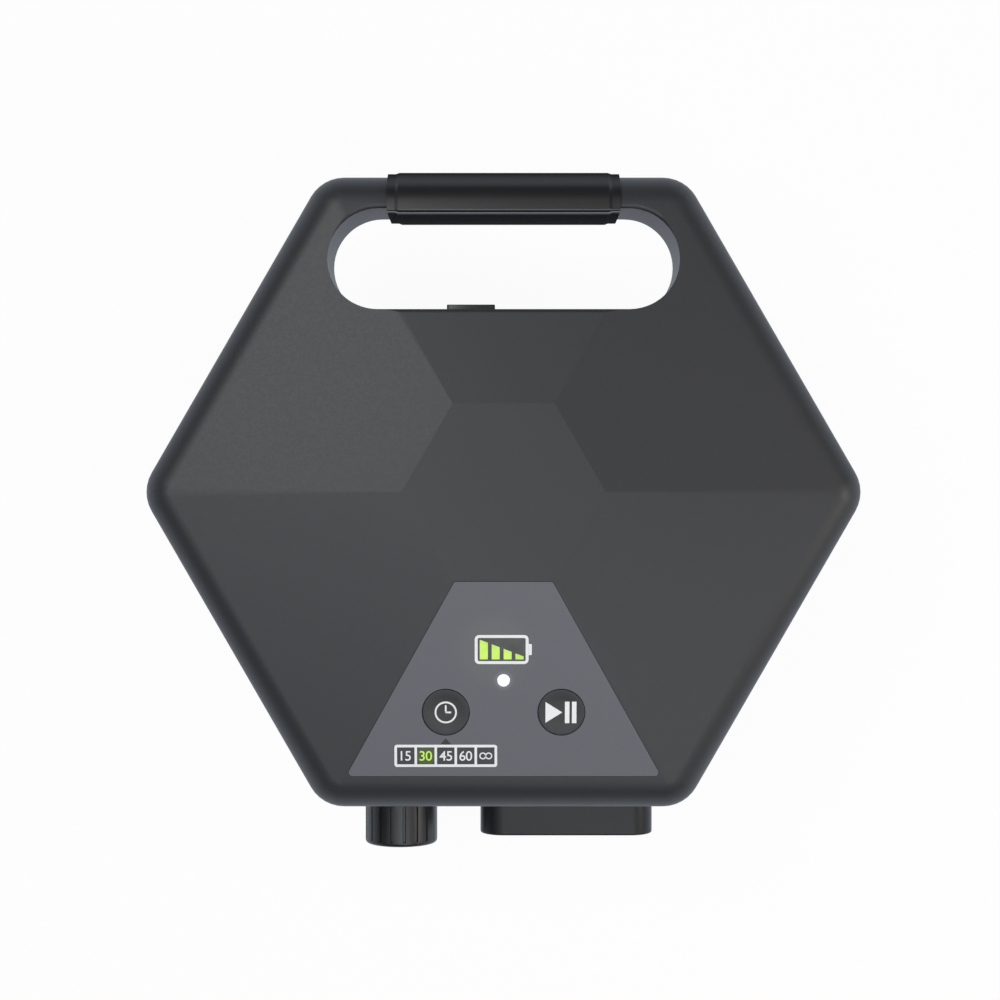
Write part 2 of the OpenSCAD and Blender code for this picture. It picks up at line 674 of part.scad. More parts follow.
/* the pressure control on the lower side */
bushing_len = pad_t + 7;
control_r = 11;
control_len = 9;
nut_across = 14;
nut_t = 2;
knob_wall = 1.8;
knob_edge = 1;
band_len = 2;
hub_r = 5.5;
knob_pocket = 12.5;
shaft_end = 5;
flute_r = 0.9;
module pressure_control() in_frame() color([0.55, 0.56, 0.58]) on_side(-knob_x, pad_y) difference() {
    union() {
        translate([0, 0, -control_len]) cylinder(r = control_r, h = control_len);
        cylinder(r = bushing_r, h = bushing_len - pad_t + 2);
    }
    translate([0, 0, -control_len + 2]) cylinder(r = shaft_r + run_gap, h = control_len + bushing_len);
}
module control_nut() in_frame() color([0.75, 0.76, 0.78]) on_side(-knob_x, case_a) difference() {
    cylinder(r = nut_across/2/cos(30), h = nut_t, $fn = 6);
    translate([0, 0, -over]) cylinder(r = bushing_r, h = nut_t + 2*over);
}
module control_shaft() in_frame() color([0.8, 0.8, 0.82]) on_side(-knob_x, pad_y - control_len + 3)
    cylinder(r = shaft_r, h = knob_end_y - (pad_y - control_len + 3) - shaft_end);
module pressure_knob() in_frame() color([0.2, 0.2, 0.2]) on_side(-knob_x, knob_y0) difference() {
    rotate_extrude() polygon(concat(
        [[0, 0], [knob_r - 0.3, 0], [knob_r, 0.3]],
        arc([knob_r - knob_edge, knob_len - knob_edge], knob_edge, 0, 90, 5), [[0, knob_len]]));
    difference() {
        translate([0, 0, -over]) cylinder(r = knob_r - knob_wall - flute_depth, h = knob_pocket + over);
        translate([0, 0, 4]) cylinder(r = hub_r, h = knob_pocket);
    }
    translate([0, 0, -over]) cylinder(r = shaft_r, h = knob_len - shaft_end + over);
    for (k = [0:flutes - 1]) rotate([0, 0, (k + 0.5)*360/flutes])
        translate([knob_r - flute_depth + flute_r, 0, band_len]) cylinder(r = flute_r, h = knob_len);
}

/* the hose port on the lower side */
port_flange_t = 2;
port_end_y = wall_y + port_out;
socket_floor_t = 3;
socket_y = port_end_y - socket_depth;
plate_t = 4;
plate_y = socket_y - socket_floor_t;
nozzle_short = 2.5;
nozzle_len = socket_depth - nozzle_short;
hose_r = 3.8;
hose_nipple = 8;
port_screw_x = port_w/2 + port_flange - 2;
port_pilot_r = 1;
port_screw_r = port_pilot_r + 0.1;
port_screw_len = 5.5;
port_head = [2, 1.3];
shoulder = 0.8;
nozzle_tip = 0.5;
port_edge = 1;
module collar_form(w, h, r, len, edge) hull() for (x = [-1, 1], y = [-1, 1])
    translate([x*(w/2 - r), y*(h/2 - r), 0]) post(r, 0, len, high = edge);
module at_nozzles() for (k = [0:nozzles - 1])
    translate([(k - (nozzles - 1)/2)*nozzle_pitch, 0, 0]) children();
module hose_port() in_frame() color([0.25, 0.25, 0.26]) on_side(port_x, pad_y) difference() {
    union() {
        collar_form(port_w, port_h, port_r, port_end_y - pad_y, port_edge);
        translate([0, 0, -port_flange_t])
            rounded_box(port_w + 2*port_flange, port_h + port_flange, port_flange_t, port_r);
    }
    translate([0, 0, socket_y - pad_y]) socket_form(0, socket_depth + over);
    translate([0, 0, -port_flange_t - over]) socket_form(0, plate_y - pad_y + port_flange_t + over);
    at_nozzles() cylinder(r = nozzle_r + shoulder + seat_gap, h = port_end_y - pad_y);
    for (s = [-1, 1]) translate([s*port_screw_x, 0, -port_flange_t - over])
        cylinder(r = port_screw_r + 0.3, h = port_flange_t + 2*over);
}
module socket_form(inset, h) rounded_box(port_w - 2*port_wall - 2*inset, port_h - 2*port_wall - 2*inset,
    h, port_r - port_wall - inset);
module nozzle_block() in_frame() color([0.85, 0.85, 0.83]) on_side(port_x, plate_y) difference() {
    translate([0, 0, -plate_t]) socket_form(gap, plate_t);
    translate([0, 0, -plate_t - over]) at_nozzles()
        cylinder(r = nozzle_r + shoulder, h = plate_t + 2*over);
}
// each nozzle has a shoulder in the plate and the socket's floor, and a hose end behind
module air_nozzles() in_frame() color([0.85, 0.85, 0.83]) on_side(port_x, plate_y - plate_t) at_nozzles() {
    foot = plate_t + socket_floor_t;
    top = foot + nozzle_len;
    rotate_extrude() polygon([[nozzle_bore_r, -hose_nipple], [nozzle_r - nozzle_tip, -hose_nipple],
        [nozzle_r, -hose_nipple + nozzle_tip], [nozzle_r, 0], [nozzle_r + shoulder, 0],
        [nozzle_r + shoulder, foot], [nozzle_r, foot], [nozzle_r, top - nozzle_tip],
        [nozzle_r - nozzle_tip, top], [nozzle_bore_r, top]]);
}
module port_screws() in_frame() color([0.7, 0.7, 0.72]) for (s = [-1, 1])
    on_side(port_x + s*port_screw_x, pad_y - port_flange_t)
        pan_screw(port_screw_r, port_screw_len, port_head[0], port_head[1]);

/* the power switch in the slot's floor and the charging socket under the handle */
switch_depth = 14;
rocker_gap = 0.25;
rocker_side = 2.2;
rocker_end = 2.3;
rocker_w = switch_w - 2*rocker_side;
rocker_l = switch_l - 2*rocker_end;
rocker_rise = 0.6;
rocker_pin_r = 1.2;
rocker_pin_len = 0.9;
rocker_body_r = rocker_l/2 - rocker_gap;
rocker_dish = rocker_throw/2;
pivot_drop = rocker_rise + rocker_body_r*sin(rocker_throw) + 0.1;
rocker_depth = 3;
terminal = [0.8, 4.8, 7];
module on_switch() translate([-switch_x, slot_y0 + switch_out, switch_z]) rotate([-90, 0, 0]) children();
module switch_frame() in_frame() color([0.1, 0.1, 0.1]) on_switch() difference() {
    union() {
        translate([0, 0, -switch_out]) rounded_box(switch_w, switch_l, switch_out, 0.8);
        translate([-switch_cut_w/2, -switch_cut_l/2, -switch_out - switch_depth])
            cube([switch_cut_w, switch_cut_l, switch_depth + over]);
        for (x = [-1, 1]) translate([x*switch_cut_w/4 - terminal[0]/2, -terminal[1]/2,
            -switch_out - switch_depth - terminal[2]]) cube(terminal + [0, 0, over]);
    }
    translate([-rocker_w/2 - rocker_gap, -rocker_l/2, -switch_depth/2 - 3])
        cube([rocker_w + 2*rocker_gap, rocker_l, switch_depth]);
    translate([-rocker_w/2 - rocker_pin_len - gap, 0, -pivot_drop]) rotate([0, 90, 0])
        cylinder(r = rocker_pin_r + run_gap, h = rocker_w + 2*rocker_pin_len + 2*gap);
}
module switch_rocker() in_frame() color([0.13, 0.13, 0.14]) on_switch() translate([0, 0, -pivot_drop])
    rotate([rocker_dish, 0, 0]) rotate([90, 0, 90]) {
        reach = rocker_body_r;
        rise = reach*tan(rocker_dish);
        translate([0, 0, -rocker_w/2]) linear_extrude(rocker_w) intersection() {
            circle(r = reach);
            polygon([[-reach, rocker_rise + rise], [0, rocker_rise], [reach, rocker_rise + rise],
                [reach, -rocker_depth], [-reach, -rocker_depth]]);
        }
        translate([0, 0, -rocker_w/2 - rocker_pin_len])
            cylinder(r = rocker_pin_r, h = rocker_w + 2*rocker_pin_len);
    }

jack_barrel_r = 4;
jack_flange_t = 1.2;
jack_depth = 10;
jack_block = [9, 11, 8];
jack_face_y = jack_seat_y + jack_flange_t;
jack_barrel_len = jack_face_y - jack_pad_y;
module on_jack() translate([jack_x, jack_face_y, jack_z]) rotate([-90, 0, 0]) children();
module charging_socket() in_frame() color([0.1, 0.1, 0.1]) on_jack() difference() {
    union() {
        translate([0, 0, -jack_flange_t]) cylinder(r = jack_flange_r, h = jack_flange_t);
        translate([0, 0, -jack_barrel_len - over]) cylinder(r = jack_barrel_r, h = jack_barrel_len + over);
        translate([-jack_block[0]/2, -jack_block[1]/2, -jack_barrel_len - jack_block[2]])
            cube(jack_block);
    }
    translate([0, 0, -jack_depth]) cylinder(r = jack_bore_r, h = jack_depth + over);
}
module socket_pin() in_frame() color([0.85, 0.8, 0.6]) on_jack() translate([0, 0, -jack_depth])
    cylinder(r = jack_pin_r, h = jack_depth - 1);

/* feet and case screws */
module feet() in_frame() color([0.08, 0.08, 0.08]) at_feet() {
    edge = 0.8;
    rotate_extrude() polygon(concat([[0, 0]], arc([foot_r - edge, edge], edge, -90, 0, 4),
        [[foot_r, foot_out + foot_sink], [foot_pin_r, foot_out + foot_sink],
         [foot_pin_r, floor_z + 0.8], [0, floor_z + 0.8]]));
}
module case_screws() in_frame() color([0.6, 0.6, 0.62]) {
    for (t = tall_towers) translate([t[0], t[1], tall_seat])
        pan_screw(screw_r, screw_len, head_r, head_h);
    for (t = short_towers) translate([t[0], t[1], short_seat])
        pan_screw(screw_r, screw_len - short_cut, head_r, head_h);
}

/* battery, its tray and the main board on top of it */
cell_gap = 0.8;
tray_wall = 1.8;
tray_floor = 1.6;
cells_w = cells*(2*cell_r + cell_gap) + cell_gap;
cell_tip_r = 3;
function cell_at(k) = (k - (cells - 1)/2)*(2*cell_r + cell_gap);
tray_w = cells_w + 2*tray_wall;
tray_l = cell_len + 2*cell_gap + 2*tray_wall;
tray_boss_h = 2;
tray_boss_r = 3.4;
tray_z = floor_z + tray_boss_h;
tray_ear = 5;
tray_post = [20, 3];
tray_spot = [tray_w/2 - tray_post[0], tray_l/2 + tray_post[1]];
tray_spots = [for (x = [-1, 1], y = [-1, 1]) [tray_x + x*tray_spot[0], tray_y + y*tray_spot[1]]];
board_pilot_r = 1.1;
board_screw_r = 1.25;
board_screw_len = 9;
board_gap = 3;
board_inset = 14;
board_head = [2.4, 1.6];
board_z = tray_z + tray_floor + 2*cell_r + board_gap;
post_r = 3;
module battery_tray() in_frame() color([0.75, 0.75, 0.73]) translate([tray_x, tray_y, tray_z]) difference() {
    union() {
        translate([-tray_w/2, -tray_l/2, 0]) cube([tray_w, tray_l, tray_floor + cell_r]);
        for (x = [-1, 1], y = [0, 1]) mirror([0, y, 0]) translate([x*tray_spot[0], tray_spot[1], 0]) {
            cylinder(r = post_r, h = board_z - tray_z);
            translate([-post_r, -tray_ear/2 - over, 0]) cube([2*post_r, tray_ear/2 + over, board_z - tray_z]);
        }
    }
    translate([-cells_w/2, -cell_len/2 - cell_gap, tray_floor + cell_r/2])
        cube([cells_w, cell_len + 2*cell_gap, board_z]);
    for (k = [0:cells - 1]) translate([cell_at(k), -cell_len/2 - cell_gap, tray_floor + cell_r])
        rotate([-90, 0, 0]) cylinder(r = cell_r + gap, h = cell_len + 2*cell_gap);
    for (x = [-1, 1], y = [-1, 1]) translate([x*tray_spot[0], y*tray_spot[1], -over])
        cylinder(r = board_pilot_r, h = board_z + 2*over);
}
module battery_cells() in_frame() color([0.2, 0.4, 0.7])
    translate([tray_x, tray_y, tray_z + tray_floor + cell_r]) for (k = [0:cells - 1])
        translate([cell_at(k), -cell_len/2, 0]) rotate([-90, 0, 0]) {
            cylinder(r = cell_r, h = cell_len);
            translate([0, 0, cell_len]) cylinder(r = cell_tip_r, h = cell_gap/2);
        }
board_w = tray_w - 2*board_inset;
module main_board() in_frame() color([0.1, 0.4, 0.2]) translate([tray_x, tray_y, board_z]) difference() {
    translate([-board_w/2, -tray_l/2 - tray_ear, 0]) cube([board_w, tray_l + 2*tray_ear, board_t]);
    for (x = [-1, 1], y = [-1, 1]) translate([x*tray_spot[0], y*tray_spot[1], -over])
        cylinder(r = board_screw_r + 0.2, h = board_t + 2*over);
}
// each chip, coil and plug on the board: its corner and its size
board_blocks = [[[-9, -6, 0], [14, 14, 1.6]], [[12, 8, 0], [10, 8, 1.4]],
    [[-25, 12, 0], [12, 12, 7]], [[13, -24, 0], [12, 6, 7]]];
can = [4, 11];
can_spots = [[-21, -22, 0], [-11, -22, 0], [-1, -22, 0]];
module board_parts() in_frame() color([0.15, 0.15, 0.17]) translate([tray_x, tray_y, board_z + board_t]) {
    for (b = board_blocks) translate(b[0]) cube(b[1]);
    for (c = can_spots) translate(c) cylinder(r = can[0], h = can[1]);
}
module board_screws() in_frame() color([0.7, 0.7, 0.72]) for (p = tray_spots)
    translate([p[0], p[1], board_z + board_t]) rotate([180, 0, 0])
        pan_screw(board_screw_r, board_screw_len, board_head[0], board_head[1]);

/* the air pump, left of the battery */
bracket_t = 2;
bracket_z = floor_z + mount_h;
pump_rise = 19;
pump_z = bracket_z + bracket_t + pump_rise;
head_y0 = -8;
head_l = 30;
head_w = 46;
head_low = 17;
head_top = 21;
crank_back = 15;
crank_y = head_y0 - crank_back;
crank_throw = 2;
crank_r = 7;
crank_t = 6;
chamber_r = 11;
outlet_x = 15;
outlet_len = 7;
fin_h = 8;
fin_t = 2;
fin_w = head_w - 6;
fin_pitch = (head_l - 3*fin_t)/(fins - 1);
module on_pump(y) translate([pump_x, y, pump_z]) rotate([-90, 0, 0]) children();
module pump_motor() in_frame() color([0.6, 0.61, 0.63]) on_pump(head_y0) difference() {
    union() {
        cylinder(r = motor_r, h = motor_len);
        translate([0, 0, motor_len]) cylinder(r = motor_r*0.4, h = bearing_t);
    }
    translate([0, 0, -over])
        cylinder(r = crank_shaft_r + run_gap, h = motor_len + bearing_t + 2*over);
    for (k = [0:5]) rotate([0, 0, 60*k]) translate([motor_r*0.7, 0, motor_len - air_hole])
        cylinder(r = air_hole, h = air_hole + over);
}
bearing_t = 3;
air_hole = 2;
module pump_crankshaft() in_frame() color([0.8, 0.8, 0.82]) on_pump(crank_y) {
    translate([0, 0, -6]) cylinder(r = crank_shaft_r, h = head_y0 - crank_y + motor_len + 14);
    translate([0, crank_throw, -crank_t/2]) cylinder(r = crank_r, h = crank_t);
}
module pump_head() in_frame() color([0.7, 0.71, 0.73]) difference() {
    union() {
        translate([pump_x - head_w/2, head_y0 - head_l, pump_z - head_low])
            cube([head_w, head_l, head_low + head_top - fin_h]);
        translate([pump_x - fin_w/2, head_y0 - head_l + fin_t, pump_z + head_top - fin_h - over])
            for (k = [0:fins - 1]) translate([0, k*fin_pitch, 0]) cube([fin_w, fin_t, fin_h + over]);
        translate([pump_x + outlet_x, head_y0 - head_l + over, port_z]) rotate([90, 0, 0])
            cylinder(r = nozzle_r, h = outlet_len + over);
    }
    translate([pump_x, crank_y, pump_z]) rotate([90, 0, 0])
        cylinder(r = chamber_r, h = crank_t + 4, center = true);
    on_pump(head_y0 - head_l + 6) cylinder(r = crank_shaft_r + run_gap, h = head_l);
    translate([pump_x + outlet_x, head_y0 - head_l + 2, port_z]) rotate([90, 0, 0])
        cylinder(r = nozzle_bore_r, h = outlet_len + 2 + over);
}
mount_edge = 7;
mount_foot_r = 6;
mount_neck_r = 3.2;
mount_cap_r = 5;
bracket_w = 2*(mount_dx + mount_edge);
saddle_y = [4, 30];
saddle_w = 24;
saddle_t = 3;
saddle_h = 15;
saddle = [saddle_w, saddle_t, saddle_h + bracket_t];
module pump_bracket() in_frame() color([0.75, 0.76, 0.78]) difference() {
    union() {
        translate([pump_x - bracket_w/2, mount_y[0] - mount_edge, bracket_z])
            cube([bracket_w, mount_y[1] - mount_y[0] + 2*mount_edge, bracket_t]);
        for (y = saddle_y) translate([pump_x - saddle[0]/2, y, bracket_z]) cube(saddle);
    }
    on_pump(-over) cylinder(r = motor_r + seat_gap, h = motor_len);
    at_mounts(bracket_z - over) cylinder(r = mount_neck_r, h = bracket_t + 2*over);
}
// rubber mounts: a foot on a post of the base, a neck in the bracket and a cap over it
module pump_mounts() in_frame() color([0.12, 0.12, 0.12]) at_mounts(floor_z)
    rotate_extrude() polygon([[mount_post_r, 0], [mount_foot_r, 0], [mount_foot_r, mount_h],
        [mount_neck_r, mount_h], [mount_neck_r, mount_h + bracket_t], [mount_cap_r, mount_h + bracket_t],
        [mount_cap_r, mount_h + bracket_t + 2], [0, mount_h + bracket_t + 2],
        [0, post_h], [mount_post_r, post_h]]);

/* valves between the pump and the nozzles */
manifold_gap = 12;
manifold_side = 8;
hose_end = 1;
manifold_y1 = plate_y - plate_t - hose_nipple - manifold_gap;
manifold_l = 12;
manifold_h = 14;
manifold_w = (nozzles - 1)*nozzle_pitch + 2*manifold_side;
manifold_nipple = 9;
valve_r = 5;
valve_len = 16;
hose_y0 = plate_y - plate_t - hose_end;
hose_y1 = manifold_y1 + hose_end;
inlet_len = 6;
inlet_y = manifold_l/2 - manifold_y1;
valve_seat = 8;
module valve_manifold() in_frame() color([0.82, 0.82, 0.8]) difference() {
    union() {
        on_side(port_x, manifold_y1) translate([-manifold_w/2, -manifold_h/2, -manifold_l])
            cube([manifold_w, manifold_h, manifold_l]);
        on_side(port_x, manifold_y1 - over) at_nozzles() cylinder(r = nozzle_r, h = manifold_nipple + over);
        at_inlet() cylinder(r = nozzle_r, h = inlet_len + over);
    }
    on_side(port_x, manifold_y1 - manifold_l/2) at_nozzles()
        cylinder(r = nozzle_bore_r, h = manifold_nipple + manifold_l);
    at_inlet() translate([0, 0, -over]) cylinder(r = nozzle_bore_r, h = manifold_w + inlet_len - 6);
}
module at_inlet() translate([port_x - manifold_w/2 - inlet_len, inlet_y, port_z])
    rotate([0, 90, 0]) children();
module solenoid_valves() in_frame() color([0.3, 0.3, 0.33])
    on_side(port_x, manifold_y1 - manifold_l - valve_len) at_nozzles() {
        cylinder(r = valve_r, h = valve_len - 2);
        translate([-valve_seat/2, -valve_seat/2, valve_len - 2]) cube([valve_seat, valve_seat, 2]);
        translate([0, 0, -2]) cylinder(r = 2, h = 2);
    }
module valve_hoses() in_frame() color([0.8, 0.8, 0.78]) on_side(port_x, hose_y1) at_nozzles() difference() {
    cylinder(r = hose_r, h = hose_y0 - hose_y1);
    translate([0, 0, -over]) cylinder(r = nozzle_r, h = hose_y0 - hose_y1 + 2*over);
}
module supply_hose() in_frame() color([0.8, 0.8, 0.78]) {
    start = [pump_x + outlet_x, head_y0 - head_l];
    end = [port_x - manifold_w/2, inlet_y];
    bend = min(end[0] - start[0], start[1] - end[1]) - inlet_len;
    joint = 0.02;
    translate([0, 0, port_z]) {
        translate([start[0] + bend, end[1] + bend, 0]) rotate([0, 0, 180])
            rotate_extrude(angle = 90) hose_ring(bend);
        translate([start[0], start[1], 0]) rotate([90, 0, 0])
            linear_extrude(start[1] - end[1] - bend + joint) hose_ring(0);
        translate([start[0] + bend - joint, end[1], 0]) rotate([90, 0, 90])
            linear_extrude(end[0] - start[0] - bend + joint) hose_ring(0);
    }
}
module hose_ring(x) translate([x, 0]) difference() {
    circle(r = hose_r);
    circle(r = nozzle_r);
}
sensor = [10, 5, 8];
filter_h = 4;
module pressure_sensor() in_frame() color([0.2, 0.2, 0.22])
    on_side(port_x + manifold_w/2 - sensor[0], manifold_y1 - manifold_l/2)
        translate([-sensor[0]/2, manifold_h/2, -sensor[2]/2]) cube(sensor);
module intake_filter() in_frame() color([0.3, 0.3, 0.3]) translate([vent_spot[0], vent_spot[1], floor_z])
    translate([-vents*vent_pitch/2, -vent_len/2 - over, 0])
        cube([vents*vent_pitch, vent_len + 2*over, filter_h]);

front_shell();
back_shell();
handle_grip();
panel_inlay();
time_button();
start_button();
battery_window();
battery_bars();
timer_frame();
timer_cells();
status_light();
keypad_board();
key_switches();
panel_leds();
keypad_screws();
pressure_knob();
control_shaft();
pressure_control();
control_nut();
hose_port();
nozzle_block();
air_nozzles();
port_screws();
switch_frame();
switch_rocker();
charging_socket();
socket_pin();
feet();
case_screws();
main_board();
board_parts();
board_screws();
battery_cells();
battery_tray();
pump_motor();
pump_crankshaft();
pump_head();
pump_bracket();
pump_mounts();
valve_manifold();
solenoid_valves();
pressure_sensor();
valve_hoses();
supply_hose();
intake_filter();
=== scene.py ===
"""Looks of a portable air pump for compression boots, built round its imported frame.

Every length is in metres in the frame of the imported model: the pump lies on its back,
+Z leaves the control face, +Y points to the handle and +X to the right.
"""

from math import atan2, cos, pi, radians, sin, tan

import bpy
from mathutils import Matrix, Vector


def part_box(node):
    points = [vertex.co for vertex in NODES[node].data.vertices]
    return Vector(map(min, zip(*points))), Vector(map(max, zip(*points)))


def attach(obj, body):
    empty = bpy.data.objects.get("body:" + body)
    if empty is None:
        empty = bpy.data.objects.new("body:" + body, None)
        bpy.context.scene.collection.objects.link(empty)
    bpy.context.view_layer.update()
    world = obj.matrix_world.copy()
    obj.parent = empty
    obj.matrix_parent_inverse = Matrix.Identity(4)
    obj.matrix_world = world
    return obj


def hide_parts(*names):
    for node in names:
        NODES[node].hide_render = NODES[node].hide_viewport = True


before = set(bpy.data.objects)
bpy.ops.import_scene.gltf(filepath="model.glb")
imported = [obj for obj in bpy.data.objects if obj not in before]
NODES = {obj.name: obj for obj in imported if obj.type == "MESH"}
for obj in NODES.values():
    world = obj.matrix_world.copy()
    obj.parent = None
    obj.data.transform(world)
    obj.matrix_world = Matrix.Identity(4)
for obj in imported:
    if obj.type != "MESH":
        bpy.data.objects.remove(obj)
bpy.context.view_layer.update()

bl_info = {
    "name": "Compression pump",
    "version": (1, 0, 0),
    "blender": (4, 5, 0),
    "location": "View3D > Sidebar > Pump",
    "description": "Models and finishes a portable compression pump",
    "category": "Object",
}

MM = 0.001
CLOSE = MM / 50  # how near to a plane a point still counts as on it
WELD = 1e-6  # corners nearer than this are one

# The case, as its solids have it.
CASE_TOP = 90 * MM
CROWN_FLAT = 27.5 * MM  # from the middle to the crown's edge
FACET_TILT = radians(8)
CENTRE_Y = 7.97 * MM  # the hexagon's middle, in the frame
CASE_FLAT = 100.8 * MM  # from the middle to a side
SHELL_WALL = 2.6 * MM
SEAT_GAP = 0.05 * MM  # between faces that slide or part
RIM_R = 10.5 * MM  # rounding of the case's front edge
RIM_Z = 70.571 * MM  # height of that rounding's centre
HANDLE_EDGE = 2.5 * MM  # rounding of the handle's rear edge

# The panel's pieces: V runs down the facet from the crown's edge, heights are over the facet.
PANEL_TOP = 0.15 * MM
BUTTON_TOP = 0.4 * MM
BUTTON_R = 7.4 * MM
BUTTON_X = 18.15 * MM
BUTTON_V = 42.1 * MM
GAUGE_X = -0.6 * MM
GAUGE_V = 22 * MM
GAUGE_SIZE = (16.9 * MM, 9.3 * MM)
GAUGE_R = 1.4 * MM
LAMP_V = 31.9 * MM
TIMER_X = -18.2 * MM
TIMER_V = 56.2 * MM
TIMER_H = 7.2 * MM
CELL_PITCH = 6.3 * MM
FACET = Matrix.Translation((0, CENTRE_Y - CROWN_FLAT, CASE_TOP)) @ Matrix.Rotation(
    FACET_TILT, 4, "X"
)

# The hose port's collar.
PORT_Z = 36 * MM
PORT_W = 57.6 * MM
PORT_H = 24 * MM
PORT_DEPTH = 14 * MM

CAST_GREY = (0.52, 0.53, 0.55)


# ---------------------------------------------------------------- modelling


def only(obj):
    """Selects obj and nothing else."""
    if bpy.context.mode != "OBJECT":
        bpy.ops.object.mode_set(mode="OBJECT")
    bpy.ops.object.select_all(action="DESELECT")
    obj.select_set(True)
    bpy.context.view_layer.objects.active = obj


def pick(obj, kind, test):
    """Opens obj in edit mode with the faces, edges or corners selected that test takes."""
    only(obj)
    bpy.ops.object.mode_set(mode="EDIT")
    bpy.ops.mesh.select_mode(type=kind)
    bpy.ops.mesh.select_all(action="DESELECT")
    bpy.ops.object.mode_set(mode="OBJECT")
    mesh = obj.data
    if kind == "FACE":
        for face in mesh.polygons:
            face.select = test(face.center, face.normal)
    elif kind == "EDGE":
        for edge in mesh.edges:
            a, b = (mesh.vertices[i].co for i in edge.vertices)
            edge.select = test((a + b) / 2, b - a)
    else:
        for corner in mesh.vertices:
            corner.select = test(corner.co)
    bpy.ops.object.mode_set(mode="EDIT")


def done():
    """Leaves edit mode."""
    bpy.ops.object.mode_set(mode="OBJECT")


def settle(obj):
    """Puts an object's place, turn and size into its mesh."""
    only(obj)
    bpy.ops.object.transform_apply(location=True, rotation=True, scale=True)


def place(obj, matrix):
    """Moves and turns a piece, and puts that into its mesh."""
    obj.matrix_world = matrix @ obj.matrix_world
    settle(obj)


def block(name, low, high):
    """A block between two corners."""
    low, high = Vector(low), Vector(high)
    bpy.ops.object.select_all(action="DESELECT")
    bpy.ops.mesh.primitive_cube_add(size=1, location=(low + high) / 2)
    obj = bpy.context.object
    obj.name = name
    obj.scale = high - low
    settle(obj)
    return obj


def drum(name, radius, depth, sides, place_at, turn=(0, 0, 0)):
    """A cylinder round place_at."""
    bpy.ops.object.select_all(action="DESELECT")
    bpy.ops.mesh.primitive_cylinder_add(
        vertices=sides, radius=radius, depth=depth, location=place_at, rotation=turn
    )
    obj = bpy.context.object
    obj.name = name
    settle(obj)
    return obj


def sheet(name, width, height):
    """A flat rectangle round the origin."""
    bpy.ops.object.select_all(action="DESELECT")
    bpy.ops.mesh.primitive_plane_add(size=1)
    obj = bpy.context.object
    obj.name = name
    obj.scale = (width, height, 1)
    settle(obj)
    return obj


def disc(name, radius, sides):
    """A flat round face at the origin."""
    bpy.ops.object.select_all(action="DESELECT")
    bpy.ops.mesh.primitive_circle_add(vertices=sides, radius=radius, fill_type="NGON")
    obj = bpy.context.object
    obj.name = name
    return obj


def bevel(offset, segments, corners=False):
    """Rounds the selected edges, or the selected corners of a flat shape."""
    bpy.ops.mesh.bevel(
        offset=offset,
        offset_type="OFFSET",
        segments=segments,
        profile=0.5,
        affect="VERTICES" if corners else "EDGES",
        clamp_overlap=True,
    )


def cut(obj, at, normal):
    """Adds an edge loop where a plane crosses the piece."""
    only(obj)
    bpy.ops.object.mode_set(mode="EDIT")
    bpy.ops.mesh.select_all(action="SELECT")
    bpy.ops.mesh.bisect(plane_co=at, plane_no=normal)
    done()


def push(by):
    """Extrudes the selected faces."""
    bpy.ops.mesh.extrude_region_move(TRANSFORM_OT_translate={"value": by})


def thicken(obj, height):
    """Gives a flat shape its thickness, upward."""
    pick(obj, "FACE", lambda c, n: True)
    push((0, 0, height))
    bpy.ops.mesh.select_all(action="SELECT")
    bpy.ops.mesh.normals_make_consistent(inside=False)
    done()


def join(name, parts):
    """Makes one piece of several."""
    only(parts[0])
    for part in parts[1:]:
        part.select_set(True)
    bpy.ops.object.join()
    obj = bpy.context.object
    obj.name = name
    return obj


def finish_piece(obj, body, slot, material, *nodes, angle=30):
    """Smooths a piece, gives it its finish and hangs it on its body."""
    only(obj)
    bpy.ops.object.mode_set(mode="EDIT")
    bpy.ops.mesh.select_all(action="SELECT")
    bpy.ops.mesh.remove_doubles(threshold=WELD)
    bpy.ops.mesh.normals_make_consistent(inside=False)
    done()
    bpy.ops.object.shade_smooth_by_angle(angle=radians(angle))
    obj.data.name = obj.name
    obj.data.materials.clear()
    obj.data.materials.append(material)
    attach(obj, body)
    if nodes:
        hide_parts(*nodes)
    return obj


